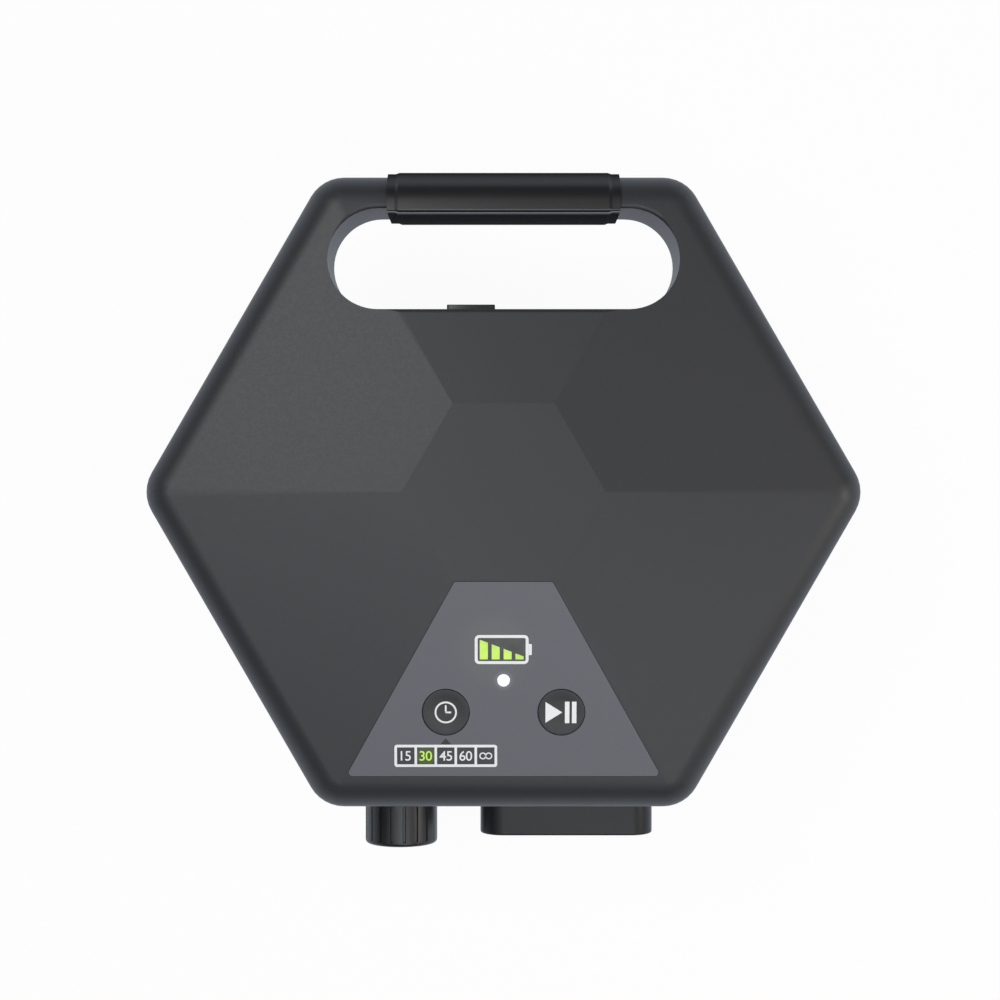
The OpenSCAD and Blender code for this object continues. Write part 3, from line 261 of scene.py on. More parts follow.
def soft_shading():
    """A modifier tree that joins a solid's triangles and rounds its shading up to an angle.

    An edge is sharp above round_angle, and above facet_angle between two wide upward faces.
    """
    round_angle, facet_angle = radians(24), radians(0.5)
    wide_area, upward = 4e-6, 0.985
    tree = bpy.data.node_groups.get("Soft shading")
    if tree:
        return tree
    tree = bpy.data.node_groups.new("Soft shading", "GeometryNodeTree")
    tree.interface.new_socket("Geometry", in_out="INPUT", socket_type="NodeSocketGeometry")
    tree.interface.new_socket("Geometry", in_out="OUTPUT", socket_type="NodeSocketGeometry")
    node = tree.nodes.new
    start, end = node("NodeGroupInput"), node("NodeGroupOutput")
    weld = node("GeometryNodeMergeByDistance")
    weld.inputs["Distance"].default_value = WELD
    faces = node("GeometryNodeSetShadeSmooth")
    faces.domain = "FACE"
    edges = node("GeometryNodeSetShadeSmooth")
    edges.domain = "EDGE"
    edges.inputs["Shade Smooth"].default_value = False
    angle = node("GeometryNodeInputMeshEdgeAngle").outputs["Unsigned Angle"]
    wide = node("GeometryNodeCaptureAttribute")
    wide.domain = "FACE"
    wide.capture_items.new("FLOAT", "Wide")
    split = node("ShaderNodeSeparateXYZ")
    link = tree.links.new

    def above(value, limit):
        test = node("FunctionNodeCompare")
        test.data_type = "FLOAT"
        test.operation = "GREATER_THAN"
        test.inputs[1].default_value = limit
        link(value, test.inputs[0])
        return test.outputs[0]

    def combine(operation, a, b):
        made = node("FunctionNodeBooleanMath")
        made.operation = operation
        link(a, made.inputs[0])
        link(b, made.inputs[1])
        return made.outputs[0]

    link(start.outputs[0], weld.inputs["Geometry"])
    link(weld.outputs[0], wide.inputs["Geometry"])
    link(node("GeometryNodeInputNormal").outputs[0], split.inputs[0])
    area = node("GeometryNodeInputMeshFaceArea").outputs[0]
    chosen = combine("AND", above(split.outputs["Z"], upward), above(area, wide_area))
    link(chosen, wide.inputs["Wide"])
    link(wide.outputs["Geometry"], faces.inputs["Geometry"])
    link(faces.outputs[0], edges.inputs["Geometry"])
    both_wide = above(wide.outputs["Wide"], 0.9)  # the mean of the edge's two faces
    crease = combine("AND", above(angle, facet_angle), both_wide)
    link(combine("OR", above(angle, round_angle), crease), edges.inputs["Selection"])
    link(edges.outputs[0], end.inputs[0])
    return tree


def dress(names, material):
    """Finishes solids of the frame where they are, with smooth shading on their curves."""
    for name in names:
        obj = NODES[name]
        obj.data.materials.clear()
        obj.data.materials.append(material)
        weld = obj.modifiers.new("Soft shading", "NODES")
        weld.node_group = soft_shading()
        even = obj.modifiers.new("Even normals", "WEIGHTED_NORMAL")
        even.keep_sharp = True
        even.weight = 100


# ---------------------------------------------------------------- materials


class Finish:
    """A small builder for a procedural material on the piece's own coordinates."""

    def __init__(self, name, colour, rough, metal=0.0, specular=0.5):
        self.mat = bpy.data.materials.new(name)
        self.mat.use_nodes = True
        self.mat.cycles.emission_sampling = "NONE"  # what glows is seen, and the softboxes light
        self.tree = self.mat.node_tree
        self.shader = self.tree.nodes["Principled BSDF"]
        self.colour = colour
        self.shader.inputs["Base Color"].default_value = (*colour, 1)
        self.shader.inputs["Roughness"].default_value = rough
        self.shader.inputs["Metallic"].default_value = metal
        self.shader.inputs["Specular IOR Level"].default_value = specular
        self.coords = self.tree.nodes.new("ShaderNodeTexCoord").outputs["Object"]

    def node(self, kind, **inputs):
        """Adds a node, with the values of its inputs by name."""
        made = self.tree.nodes.new(kind)
        for key, value in inputs.items():
            made.inputs[key.replace("_", " ")].default_value = value
        return made

    def link(self, a, b):
        self.tree.links.new(a, b)

    def mix(self, a, b, factor):
        """A node that goes from the colour a to the colour b."""
        made = self.tree.nodes.new("ShaderNodeMix")
        made.data_type = "RGBA"
        made.inputs["A"].default_value = (*a, 1)
        made.inputs["B"].default_value = (*b, 1)
        self.link(factor, made.inputs["Factor"])
        return made

    def stretched(self, scale):
        """The piece's coordinates with a scale for each axis: a large one packs the pattern."""
        mapping = self.node("ShaderNodeMapping")
        mapping.inputs["Scale"].default_value = scale
        self.link(self.coords, mapping.inputs["Vector"])
        return mapping.outputs[0]

    def noise(self, scale, detail, rough=0.55, vector=None):
        made = self.node("ShaderNodeTexNoise", Scale=scale, Detail=detail, Roughness=rough)
        self.link(vector or self.coords, made.inputs["Vector"])
        return made.outputs["Fac"]

    def spread(self, value, low, high, from_low=0.35, from_high=0.65):
        """Maps a value, by default a noise's usual range, to low up to high."""
        made = self.node("ShaderNodeMapRange")
        made.inputs["From Min"].default_value = from_low
        made.inputs["From Max"].default_value = from_high
        made.inputs["To Min"].default_value = low
        made.inputs["To Max"].default_value = high
        self.link(value, made.inputs["Value"])
        return made.outputs[0]

    def vary(self, value, low, high):
        """Lets a pattern darken and lighten the colour."""
        shade = self.spread(value, low, high)
        made = self.tree.nodes.new("ShaderNodeVectorMath")
        made.operation = "SCALE"
        old = self.shader.inputs["Base Color"]
        if old.is_linked:
            self.link(old.links[0].from_socket, made.inputs[0])
        else:
            made.inputs[0].default_value = self.colour
        self.link(shade, made.inputs["Scale"])
        self.link(made.outputs[0], old)

    def tint(self, factor, colour):
        """Mixes a second colour in where factor is one."""
        made = self.mix(self.colour, colour, factor)
        old = self.shader.inputs["Base Color"]
        if old.is_linked:
            self.link(old.links[0].from_socket, made.inputs["A"])
        self.link(made.outputs["Result"], old)

    def sheen_range(self, value, low, high):
        """Lets a pattern make the surface smoother and rougher."""
        self.link(self.spread(value, low, high), self.shader.inputs["Roughness"])

    def bump(self, value, height):
        """Lets a pattern raise the surface by up to a height."""
        made = self.node("ShaderNodeBump", Distance=height)
        self.link(value, made.inputs["Height"])
        if self.shader.inputs["Normal"].is_linked:
            self.link(self.shader.inputs["Normal"].links[0].from_socket, made.inputs["Normal"])
        self.link(made.outputs[0], self.shader.inputs["Normal"])

    def math(self, operation, a, b):
        """Works with two values, each a number or a node's output."""
        made = self.tree.nodes.new("ShaderNodeMath")
        made.operation = operation
        for socket, value in zip(made.inputs, (a, b)):
            if isinstance(value, (int, float)):
                socket.default_value = value
            else:
                self.link(value, socket)
        return made.outputs[0]

    def near(self, point, inner, outer):
        """One close to a point of the piece, falling to nothing at the outer distance."""
        away = self.tree.nodes.new("ShaderNodeVectorMath")
        away.operation = "DISTANCE"
        self.link(self.coords, away.inputs[0])
        away.inputs[1].default_value = point
        made = self.node("ShaderNodeMapRange")
        made.interpolation_type = "SMOOTHERSTEP"
        made.inputs["From Min"].default_value = inner
        made.inputs["From Max"].default_value = outer
        made.inputs["To Min"].default_value = 1
        made.inputs["To Max"].default_value = 0
        self.link(away.outputs["Value"], made.inputs["Value"])
        return made.outputs[0]


def moulded(name, colour, rough, grain=0.35 * MM, depth=0.012 * MM, specular=0.5, speckle=0.06):
    """Moulded plastic with a spark-eroded grain and faint flow marks."""
    f = Finish(name, colour, rough, specular=specular)
    fine, flow = f.noise(1 / grain, 2.0), f.noise(25.0, 2.0)
    patches = f.noise(0.4 / grain, 3.0)
    f.vary(fine, 1 - speckle, 1 + speckle)
    f.vary(flow, 0.99, 1.01)
    f.sheen_range(patches, rough - 0.015, rough + 0.015)
    f.bump(fine, depth)
    return f


def rubber(name, colour, rough, grain, specular=0.3):
    """Soft rubber with a fine matt grain."""
    f = Finish(name, colour, rough, specular=specular)
    fine = f.noise(1 / grain, 3.0, 0.65)
    f.vary(fine, 0.92, 1.08)
    f.sheen_range(fine, rough - 0.03, rough + 0.05)
    f.bump(fine, 0.015 * MM)
    return f


def gloss(name, colour, rough):
    """A smooth plastic window or print with faint waviness."""
    f = Finish(name, colour, rough)
    f.vary(f.noise(120.0, 2.0), 0.97, 1.03)
    f.sheen_range(f.noise(300.0, 3.0), rough, rough + 0.08)
    f.bump(f.noise(160.0, 1.0), 0.004 * MM)
    return f


def lit(name, colour, strength):
    """A lit display: its light is uneven, as behind a moulded lens."""
    unlit = 0.12  # share of the colour that shows with the light off
    f = Finish(name, tuple(c * unlit for c in colour), 0.3)
    f.shader.inputs["Emission Color"].default_value = (*colour, 1)
    pattern = f.noise(220.0, 2.0)
    f.vary(pattern, 0.95, 1.05)
    f.link(f.spread(pattern, strength * 0.9, strength * 1.08), f.shader.inputs["Emission Strength"])
    return f


def metal(name, colour, rough, stretch=(1, 40, 1), grain=900.0):
    """Drawn or brushed metal."""
    f = Finish(name, colour, rough, metal=1.0)
    lines = f.noise(grain, 3.0, 0.6, f.stretched(stretch))
    f.vary(lines, 0.86, 1.08)
    f.sheen_range(lines, rough - 0.08, rough + 0.12)
    f.bump(lines, 0.01 * MM)
    return f


def cast(name, colour):
    """Cast metal with a pebbled skin."""
    rough = 0.45
    f = Finish(name, colour, rough, metal=1.0)
    skin = f.noise(1400.0, 4.0, 0.6)
    f.vary(skin, 0.86, 1.06)
    f.sheen_range(skin, rough - 0.05, rough + 0.15)
    f.bump(skin, 0.05 * MM)
    return f


def circuit(name, colour):
    """Solder mask over a pattern of tracks."""
    f = Finish(name, colour, 0.35)
    tracks = f.node("ShaderNodeTexBrick", Scale=160.0, Mortar_Size=0.012)
    f.link(f.coords, tracks.inputs["Vector"])
    f.tint(tracks.outputs["Fac"], tuple(min(1.0, c * 1.9) for c in colour))
    f.vary(f.noise(300.0, 2.0), 0.92, 1.06)
    f.bump(tracks.outputs["Fac"], 0.03 * MM)
    return f


def foam(name, colour):
    """Open filter foam."""
    f = Finish(name, colour, 0.95, specular=0.1)
    cells = f.node("ShaderNodeTexVoronoi", Scale=900.0)
    f.link(f.coords, cells.inputs["Vector"])
    f.vary(cells.outputs["Distance"], 1.3, 0.5)
    f.bump(cells.outputs["Distance"], 0.4 * MM)
    return f


def clear_hose(name, colour):
    """Milky silicone hose."""
    f = Finish(name, colour, 0.32)
    f.shader.inputs["Transmission Weight"].default_value = 0.25
    f.vary(f.noise(80.0, 2.0), 0.95, 1.03)
    f.sheen_range(f.noise(200.0, 2.0), 0.28, 0.42)
    f.bump(f.noise(500.0, 2.0), 0.01 * MM)
    return f


def once(name, make, *details):
    """Makes a material that several pieces share the first time, and finds it afterwards."""
    return bpy.data.materials.get(name) or make(name, *details).mat


# ---------------------------------------------------------------- settings


def colour_setting(name, what, default):
    return bpy.props.FloatVectorProperty(
        name=name, description=what, subtype="COLOR", size=3, min=0, max=1, default=default
    )


def length_setting(name, what, default, low, high):
    return bpy.props.FloatProperty(
        name=name, description=what, default=default, min=low, max=high, unit="LENGTH", precision=5
    )


def power_setting(name, what, default):
    return bpy.props.FloatProperty(
        name=name, description=what, default=default, min=0, subtype="POWER", unit="POWER"
    )


class CaseSettings(bpy.types.PropertyGroup):
    front: colour_setting("Front", "Colour of the front shell", (0.0285, 0.0295, 0.0335))
    back: colour_setting("Back", "Colour of the back shell", (0.024, 0.025, 0.028))
    grain: length_setting("Grain", "Size of the moulded grain", 0.45 * MM, 0.1 * MM, 2 * MM)


class GripSettings(bpy.types.PropertyGroup):
    colour: colour_setting("Colour", "Colour of the grip sleeve", (0.012, 0.012, 0.014))
    collar: length_setting("Collar", "Width of each end collar", 2.5 * MM, 1 * MM, 5 * MM)
    step: length_setting(
        "Pad", "How far the pad stands over the collars", 0.4 * MM, 0.1 * MM, 1 * MM
    )
    slope: length_setting(
        "Slope", "Length of the slope at each end of the pad", 1.1 * MM, 0.5 * MM, 2 * MM
    )


class PanelSettings(bpy.types.PropertyGroup):
    film: colour_setting("Film", "Colour of the panel", (0.127, 0.129, 0.152))
    button: colour_setting("Buttons", "Colour of the buttons", (0.026, 0.027, 0.030))
    print_colour: colour_setting("Print", "Colour of the printed signs", (0.94, 0.95, 0.97))
    lit_colour: colour_setting("Lit", "Colour of the lit display", (0.56, 0.86, 0.11))
    line: length_setting("Line", "Width of the battery sign's line", 0.95 * MM, 0.4 * MM, 2 * MM)
    dish: length_setting("Dish", "Depth of the dish in a button", 0.25 * MM, 0.0, 0.5 * MM)
    print_height: length_setting(
        "Print height", "Thickness of the print", 0.04 * MM, 0.01 * MM, 0.1 * MM
    )


class KnobSettings(bpy.types.PropertyGroup):
    colour: colour_setting("Colour", "Colour of the knob", (0.014, 0.014, 0.016))
    flutes: bpy.props.IntProperty(
        name="Flutes", description="Number of grip flutes", default=18, min=12, max=24
    )
    flute_depth: length_setting("Flute depth", "Depth of each flute", 0.5 * MM, 0.2 * MM, 1 * MM)
    edge: length_setting("Edge", "Radius of the end's edge", 1.1 * MM, 0.5 * MM, 2 * MM)


class PortSettings(bpy.types.PropertyGroup):
    colour: colour_setting("Colour", "Colour of the hose port", (0.014, 0.0145, 0.017))
    wall: length_setting("Wall", "Thickness of the collar's wall", 2.8 * MM, 2 * MM, 4 * MM)
    corner: length_setting("Corner", "Radius of the collar's corners", 7.8 * MM, 4 * MM, 10 * MM)
    lip: length_setting("Lip", "Radius of the mouth's outer edge", 1.6 * MM, 0.5 * MM, 2.4 * MM)


class SwitchSettings(bpy.types.PropertyGroup):
    colour: colour_setting("Colour", "Colour of the power switch", (0.016, 0.016, 0.017))
    bezel: length_setting("Bezel", "Width of the frame round the rocker", 2.2 * MM, 1 * MM, 3 * MM)


class StageSettings(bpy.types.PropertyGroup):
    floor: colour_setting("Floor", "Colour of the floor", (0.93, 0.93, 0.93))
    reach: length_setting("Reach", "Radius of the floor", 9.0, 2.0, 20.0)
    lift: length_setting("Lift", "Height of the backdrop at the floor's edge", 1.3, 0.1, 4.0)
    backdrop: bpy.props.FloatProperty(
        name="Backdrop",
        description="How far the floor is plain white to the eye",
        subtype="FACTOR",
        default=0.95,
        min=0,
        max=1,
    )
    sky: bpy.props.FloatProperty(
        name="Sky", description="Strength of the world's light", default=0.03, min=0
    )
    key: power_setting("Key", "Power of the main softbox, at the upper left", 5.8)
    left: power_setting("Left", "Power of the two softboxes on the left", 4.3)
    front: power_setting("Front", "Power of the softbox over the panel", 3.2)
    right: power_setting("Right", "Power of the softbox at the lower right", 3.0)
    back: power_setting("Back", "Power of the softbox at the upper right", 1.2)
    side: power_setting("Side", "Power of the softbox on the right", 1.7)
    low: power_setting("Low", "Power of the low warm softbox at the lower right", 1.5)


# ---------------------------------------------------------------- pieces


class PUMP_OT_case(bpy.types.Operator):
    """Finish the two moulded shells of the case"""

    bl_idname = "pump.case"
    bl_label = "Case"

    def execute(self, context):
        s = context.scene.pump_case
        front = moulded("Front shell plastic", s.front, 0.47, s.grain)
        dress(["front_shell"], front.mat)
        back = moulded("Back shell plastic", s.back, 0.5, s.grain)
        dress(["back_shell"], back.mat)
        return {"FINISHED"}


class PUMP_OT_grip(bpy.types.Operator):
    """Model the rubber sleeve round the handle's bar"""

    bl_idname = "pump.grip"
    bl_label = "Handle grip"

    def execute(self, context):
        s = context.scene.pump_grip
        wall, lower_edge, end_edge = 0.9 * MM, 1.1 * MM, 0.2 * MM
        low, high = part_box("handle_grip")
        end = high.x - MM / 10  # past it lie the sleeve's open ends
        grown = high.y - (CENTRE_Y + CASE_FLAT)
        slope = tan(FACET_TILT)
        round_r = RIM_R + grown
        # the line along which the rounded front edge runs into the sloping front
        crest_y = CENTRE_Y + CASE_FLAT - RIM_R + round_r * sin(FACET_TILT)
        crest_z = RIM_Z + round_r * cos(FACET_TILT)
        obj = block("grip_sleeve", low, (high.x, high.y, crest_z))
        pick(obj, "VERT", lambda c: c.z > crest_z - MM)
        done()
        for corner in obj.data.vertices:
            if corner.select:
                corner.co.z = crest_z + (crest_y - corner.co.y) * slope

        def along(c, d):
            return abs(d.x) > MM

        mid_z = (low.z + crest_z) / 2
        pick(obj, "EDGE", lambda c, d: along(c, d) and c.y > high.y - MM and c.z > mid_z)
        bevel(round_r * tan((pi / 2 - FACET_TILT) / 2), 16)
        done()
        pick(obj, "EDGE", lambda c, d: along(c, d) and c.y > high.y - MM / 2 and c.z < low.z + MM)
        bevel(HANDLE_EDGE + grown, 8)
        done()
        pick(obj, "EDGE", lambda c, d: along(c, d) and c.y < low.y + MM / 2)
        bevel(lower_edge, 7)
        done()
        # the pad between the collars, with a short slope at each end
        pad_end = high.x - s.collar
        for side in (-1, 1):
            for inward in (0, s.slope):
                cut(obj, (side * (pad_end - inward), 0, 0), (1, 0, 0))
        pick(obj, "FACE", lambda c, n: abs(c.x) > pad_end and abs(n.x) < 0.5)
        bpy.ops.transform.shrink_fatten(value=-s.step, use_even_offset=True)
        done()
        pick(obj, "FACE", lambda c, n: abs(n.x) > 0.9 and abs(c.x) > end)
        bpy.ops.mesh.delete(type="FACE")
        done()
        hollow = obj.modifiers.new("Wall", "SOLIDIFY")
        hollow.thickness = wall
        hollow.offset = -1
        hollow.use_even_offset = True
        bpy.ops.object.modifier_apply(modifier=hollow.name)
        pick(obj, "EDGE", lambda c, d: abs(c.x) > end)
        bevel(end_edge, 2)
        done()
        finish = rubber("Grip rubber", s.colour, 0.5, 0.5 * MM, 0.5)
        # hands polish the front, and the sides stay matt
        matt_z, worn_z = crest_z - 7 * MM, crest_z - 1.5 * MM
        height = finish.node("ShaderNodeSeparateXYZ")
        finish.link(finish.coords, height.inputs[0])
        for name, matt, worn in (("Roughness", 0.9, 0.33), ("Specular IOR Level", 0.08, 0.75)):
            level = finish.spread(height.outputs["Z"], matt, worn, matt_z, worn_z)
            finish.link(level, finish.shader.inputs[name])
        finish_piece(obj, "case", "grip_rubber", finish.mat, "handle_grip", angle=19)
        return {"FINISHED"}


def sign(obj, x, v, height, thickness):
    """Lays a flat sign on the sloping panel."""
    thicken(obj, thickness)
    place(obj, FACET @ Matrix.Translation((x, -v, height)))
    return obj


def ring(name, radius, line, sides=48):
    """A flat ring, its line measured inwards."""
    obj = disc(name, radius, sides)
    pick(obj, "FACE", lambda c, n: True)
    bpy.ops.mesh.inset(thickness=line)
    bpy.ops.mesh.delete(type="FACE")
    done()
    return obj


def bar(name, x0, y0, x1, y1, corner=0.0):
    """A flat rectangle between two corners, rounded if asked."""
    obj = sheet(name, x1 - x0, y1 - y0)
    if corner:
        pick(obj, "VERT", lambda c: True)
        bevel(corner, 4, corners=True)
        done()
    place(obj, Matrix.Translation(((x0 + x1) / 2, (y0 + y1) / 2, 0)))
    return obj


def digits(name, text, height):
    """Plain numbers as a flat mesh round the origin."""
    cap_share = 0.7  # a digit's height as a share of the font's size
    bpy.ops.object.select_all(action="DESELECT")
    bpy.ops.object.text_add()
    obj = bpy.context.object
    obj.name = name
    obj.data.body = text
    obj.data.size = height / cap_share
    obj.data.align_x = "CENTER"
    obj.data.align_y = "CENTER"
    obj.data.space_character = 0.94
    obj.data.offset = 0.02 * MM
    bpy.ops.object.convert(target="MESH")
    obj = bpy.context.object
    low = [min(v.co[i] for v in obj.data.vertices) for i in (0, 1)]
    high = [max(v.co[i] for v in obj.data.vertices) for i in (0, 1)]
    place(obj, Matrix.Translation((-(low[0] + high[0]) / 2, -(low[1] + high[1]) / 2, 0)))
    return obj


def push_button(name, x, dish):
    """A round button cap with a soft edge and a shallow dish."""
    under = -(SHELL_WALL + SEAT_GAP)  # the flange stops behind the shell's wall
    flange_r, flange_t, stem_r, stem_z = 8.8 * MM, 1 * MM, 1.6 * MM, -6.2 * MM
    obj = drum(name, BUTTON_R, BUTTON_TOP - under, 96, (0, 0, (BUTTON_TOP + under) / 2))
    pick(obj, "FACE", lambda c, n: n.z > 0.9)
    # a flat land, then four rings that follow a cosine down to the dish's floor
    for step, sink in ((0.4, 0), (1, 0.146), (1, 0.354), (1, 0.354), (1, 0.146)):
        bpy.ops.mesh.inset(thickness=step * MM)
        bpy.ops.transform.translate(value=(0, 0, -sink * dish))
    done()
    pick(obj, "EDGE", lambda c, d: c.z > BUTTON_TOP - CLOSE and c.xy.length > BUTTON_R * 0.98)
    bevel(0.3 * MM, 4)
    done()
    pick(obj, "FACE", lambda c, n: n.z < -0.9)
    push((0, 0, 0))
    bpy.ops.transform.resize(value=(flange_r / BUTTON_R, flange_r / BUTTON_R, 1))
    push((0, 0, -flange_t))
    bpy.ops.mesh.inset(thickness=flange_r - stem_r)
    push((0, 0, stem_z - under + flange_t))
    done()
    place(obj, FACET @ Matrix.Translation((x, -BUTTON_V, 0)))
    return obj


class PUMP_OT_panel(bpy.types.Operator):
    """Finish the control panel: film, buttons, displays, lamp and signs"""

    bl_idname = "pump.panel"
    bl_label = "Control panel"

    def execute(self, context):
        s = context.scene.pump_panel
        self.film(s)
        self.buttons(s)
        self.gauge(s)
        self.timer(s)
        return {"FINISHED"}

    def film(self, s):
        f = moulded("Panel film", s.film, 0.5, 0.3 * MM, 0.006 * MM, speckle=0.03)
        lamp = FACET @ Vector((0, -LAMP_V, PANEL_TOP))
        gauge = FACET @ Vector((GAUGE_X - 2 * MM, -GAUGE_V, PANEL_TOP))
        # painted glow: the film itself glows, white round the lamp and green round the bars,
        # standing in for the light that spills from them
        white = f.near(lamp, 1.5 * MM, 4.0 * MM)
        green = f.near(gauge, 4 * MM, 15 * MM)
        painted_glow_colour = f.mix((0.45, 0.75, 0.1), (0.9, 0.95, 1), white)
        f.link(painted_glow_colour.outputs["Result"], f.shader.inputs["Emission Color"])
        # strength of the painted glow, falling off with distance from the lamp and the bars
        level = f.math("ADD", f.math("MULTIPLY", white, 0.06), f.math("MULTIPLY", green, 0.02))
        f.link(level, f.shader.inputs["Emission Strength"])
        dress(["panel_inlay"], f.mat)
        lamp_lens = lit("Status lamp", (0.95, 0.97, 1.0), 1.1)
        dress(["status_light"], lamp_lens.mat)
        pointer = disc("timer_pointer", 1, 3)
        pointer.scale = (2.0 * MM, 1.35 * MM, 1)
        settle(pointer)
        top = TIMER_V - TIMER_H / 2 - 0.75 * MM
        sign(pointer, TIMER_X, top, PANEL_TOP, s.print_height)
        plastic = once("Button plastic", moulded, s.button, 0.46)
        finish_piece(pointer, "case", "button_grey", plastic)

    def buttons(self, s):
        plastic = once("Button plastic", moulded, s.button, 0.46)
        white = once("White print", gloss, s.print_colour, 0.35)
        for name, node, x, body in (
            ("time_cap", "time_button", -BUTTON_X, "time_key"),
            ("start_cap", "start_button", BUTTON_X, "start_key"),
        ):
            cap = push_button(name, x, s.dish)
            finish_piece(cap, body, "button_grey", plastic, node)
        # the signs are inlaid as deep as the dish, from its floor up to the button's top
        floor = BUTTON_TOP - s.dish
        line, long_hand, short_hand = 0.55 * MM, 2.3 * MM, 1.7 * MM
        face = ring("clock_ring", 3.5 * MM, line)
        hands = [
            bar("clock_hand_up", -line / 2, -line / 2, line / 2, long_hand),
            bar("clock_hand_side", -line / 2, -line / 2, short_hand, line / 2),
        ]
        clock = sign(join("clock_sign", [face, *hands]), -BUTTON_X, BUTTON_V, floor, s.dish)
        finish_piece(clock, "time_key", "print_white", white)
        play_w, play_h, play_x = 5.25 * MM, 6.7 * MM, -3.25 * MM
        bar_w, bar_top = 1.43 * MM, 3.45 * MM
        play = disc("play_shape", 1, 3)
        play.rotation_euler.z = -pi / 2
        settle(play)
        play.scale = (play_w / 1.5, play_h / 1.732, 1)  # a triangle in a circle of radius 1
        play.location.x = play_x
        settle(play)
        pause = [
            bar(f"pause_{k}", x, -bar_top, x + bar_w, bar_top)
            for k, x in enumerate((1.1 * MM, 3.3 * MM))
        ]
        run = sign(join("start_sign", [play, *pause]), BUTTON_X, BUTTON_V, floor, s.dish)
        finish_piece(run, "start_key", "print_white", white)

    def gauge(self, s):
        window = gloss("Display window", (0.045, 0.047, 0.044), 0.3)
        dress(["battery_window"], window.mat)
        bars = lit("Lit bars", s.lit_colour, 0.85)
        dress(["battery_bars"], bars.mat)
        white = once("White print", gloss, s.print_colour, 0.35)
        frame_line = sheet("battery_line", *GAUGE_SIZE)
        pick(frame_line, "VERT", lambda c: True)
        bevel(GAUGE_R, 6, corners=True)
        done()
        pick(frame_line, "FACE", lambda c, n: True)
        bpy.ops.mesh.inset(thickness=s.line)
        bpy.ops.mesh.delete(type="FACE")
        done()
        end, nub_w, nub_top, overlap = GAUGE_SIZE[0] / 2, 1.0 * MM, 1.8 * MM, 0.1 * MM
        nub = bar("battery_nub", end - overlap, -nub_top, end + nub_w, nub_top, 0.25 * MM)
        outline = join("battery_outline", [frame_line, nub])
        sign(outline, GAUGE_X, GAUGE_V, PANEL_TOP, s.print_height)
        finish_piece(outline, "case", "print_white", white)

    def timer(self, s):
        white = once("White print", gloss, s.print_colour, 0.35)
        dress(["timer_frame"], white)
        cells = gloss("Timer cells", (0.030, 0.032, 0.040), 0.3)
        # painted green glow on the lit cell: a green tint and faint emission that fall off from its
        # middle
        lit_cell = FACET @ Vector((TIMER_X - CELL_PITCH, -TIMER_V, PANEL_TOP))
        on = cells.near(lit_cell, 2.6 * MM, 3.6 * MM)
        cells.tint(on, (0.040, 0.060, 0.022))
        cells.shader.inputs["Emission Color"].default_value = (0.35, 0.6, 0.05, 1)
        cells.link(cells.math("MULTIPLY", on, 0.045), cells.shader.inputs["Emission Strength"])
        dress(["timer_cells"], cells.mat)
        green = bpy.data.materials["Lit bars"]
        for k, minutes in enumerate((15, 30, 45, 60)):
            label = digits(f"minutes_{minutes}", str(minutes), 3.1 * MM)
            sign(label, TIMER_X + (k - 2) * CELL_PITCH, TIMER_V, PANEL_TOP, s.print_height)
            if minutes == 30:
                finish_piece(label, "case", "display_green", green)
            else:
                finish_piece(label, "case", "print_white", white)
        loops = []
        loop_r, loop_x, line = 1.12 * MM, 0.93 * MM, 0.38 * MM
        for side in (-1, 1):
            loop = ring(f"loop_{side}", loop_r, line, 32)
            place(loop, Matrix.Translation((side * loop_x, 0, 0)))
            loops.append(loop)
        endless = join("endless_sign", loops)
        sign(endless, TIMER_X + 2 * CELL_PITCH, TIMER_V, PANEL_TOP, s.print_height)
        finish_piece(endless, "case", "print_white", white)


class PUMP_OT_knob(bpy.types.Operator):
    """Model the fluted pressure knob"""

    bl_idname = "pump.knob"
    bl_label = "Pressure knob"

    def execute(self, context):
        s = context.scene.pump_knob
        low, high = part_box("pressure_knob")
        middle, radius = (low + high) / 2, (high.x - low.x) / 2
        per_flute = 8  # the drum's sides for each flute
        wall, hollow, hub_r, hub_h = 2.3 * MM, 12 * MM, 5.5 * MM, 8 * MM
        hub_wall, bore = 2.45 * MM, 7.8 * MM
        obj = drum(
            "knob_cap", radius, high.y - low.y, s.flutes * per_flute, middle, (pi / 2, 0, 0)
        )
        # the flutes run from a plain band at the case to near the rounded end
        band = high.y - 3 * MM
        tip = low.y + s.edge + 0.4 * MM
        cut(obj, (0, band, 0), (0, 1, 0))
        cut(obj, (0, tip, 0), (0, 1, 0))
        turn = 2 * pi / s.flutes

        def in_flute(c, n):
            if abs(n.y) > 0.5 or not tip < c.y < band:
                return False
            share = (atan2(c.z - middle.z, c.x - middle.x) / turn) % 1.0
            return share < 2 / per_flute

        pick(obj, "FACE", in_flute)
        bpy.ops.mesh.inset(thickness=0.2 * MM, depth=-s.flute_depth, use_even_offset=True)
        done()
        pick(obj, "EDGE", lambda c, d: c.y < low.y + CLOSE)
        bevel(s.edge, 6)
        done()
        # the hollow behind, with the hub that takes the shaft
        pick(obj, "FACE", lambda c, n: n.y > 0.9 and c.y > high.y - CLOSE)
        bpy.ops.mesh.inset(thickness=wall)
        push((0, -hollow, 0))
        bpy.ops.mesh.inset(thickness=radius - wall - hub_r)
        push((0, hub_h, 0))
        bpy.ops.mesh.inset(thickness=hub_wall)
        push((0, -bore, 0))
        done()

        def back_edge(c, d):
            return c.y > high.y - CLOSE and (c.xz - middle.xz).length > radius * 0.97

        pick(obj, "EDGE", back_edge)
        bevel(0.3 * MM, 2)
        done()
        finish = moulded("Knob plastic", s.colour, 0.36, 0.4 * MM, 0.008 * MM)
        finish_piece(obj, "knob", "knob_grey", finish.mat, "pressure_knob", angle=40)
        steel = metal("Turned steel", (0.62, 0.62, 0.64), 0.3, (1, 1, 1), 1200.0)
        dress(["control_shaft", "control_nut"], steel.mat)
        dress(["pressure_control"], once("Cast metal", cast, CAST_GREY))
        return {"FINISHED"}


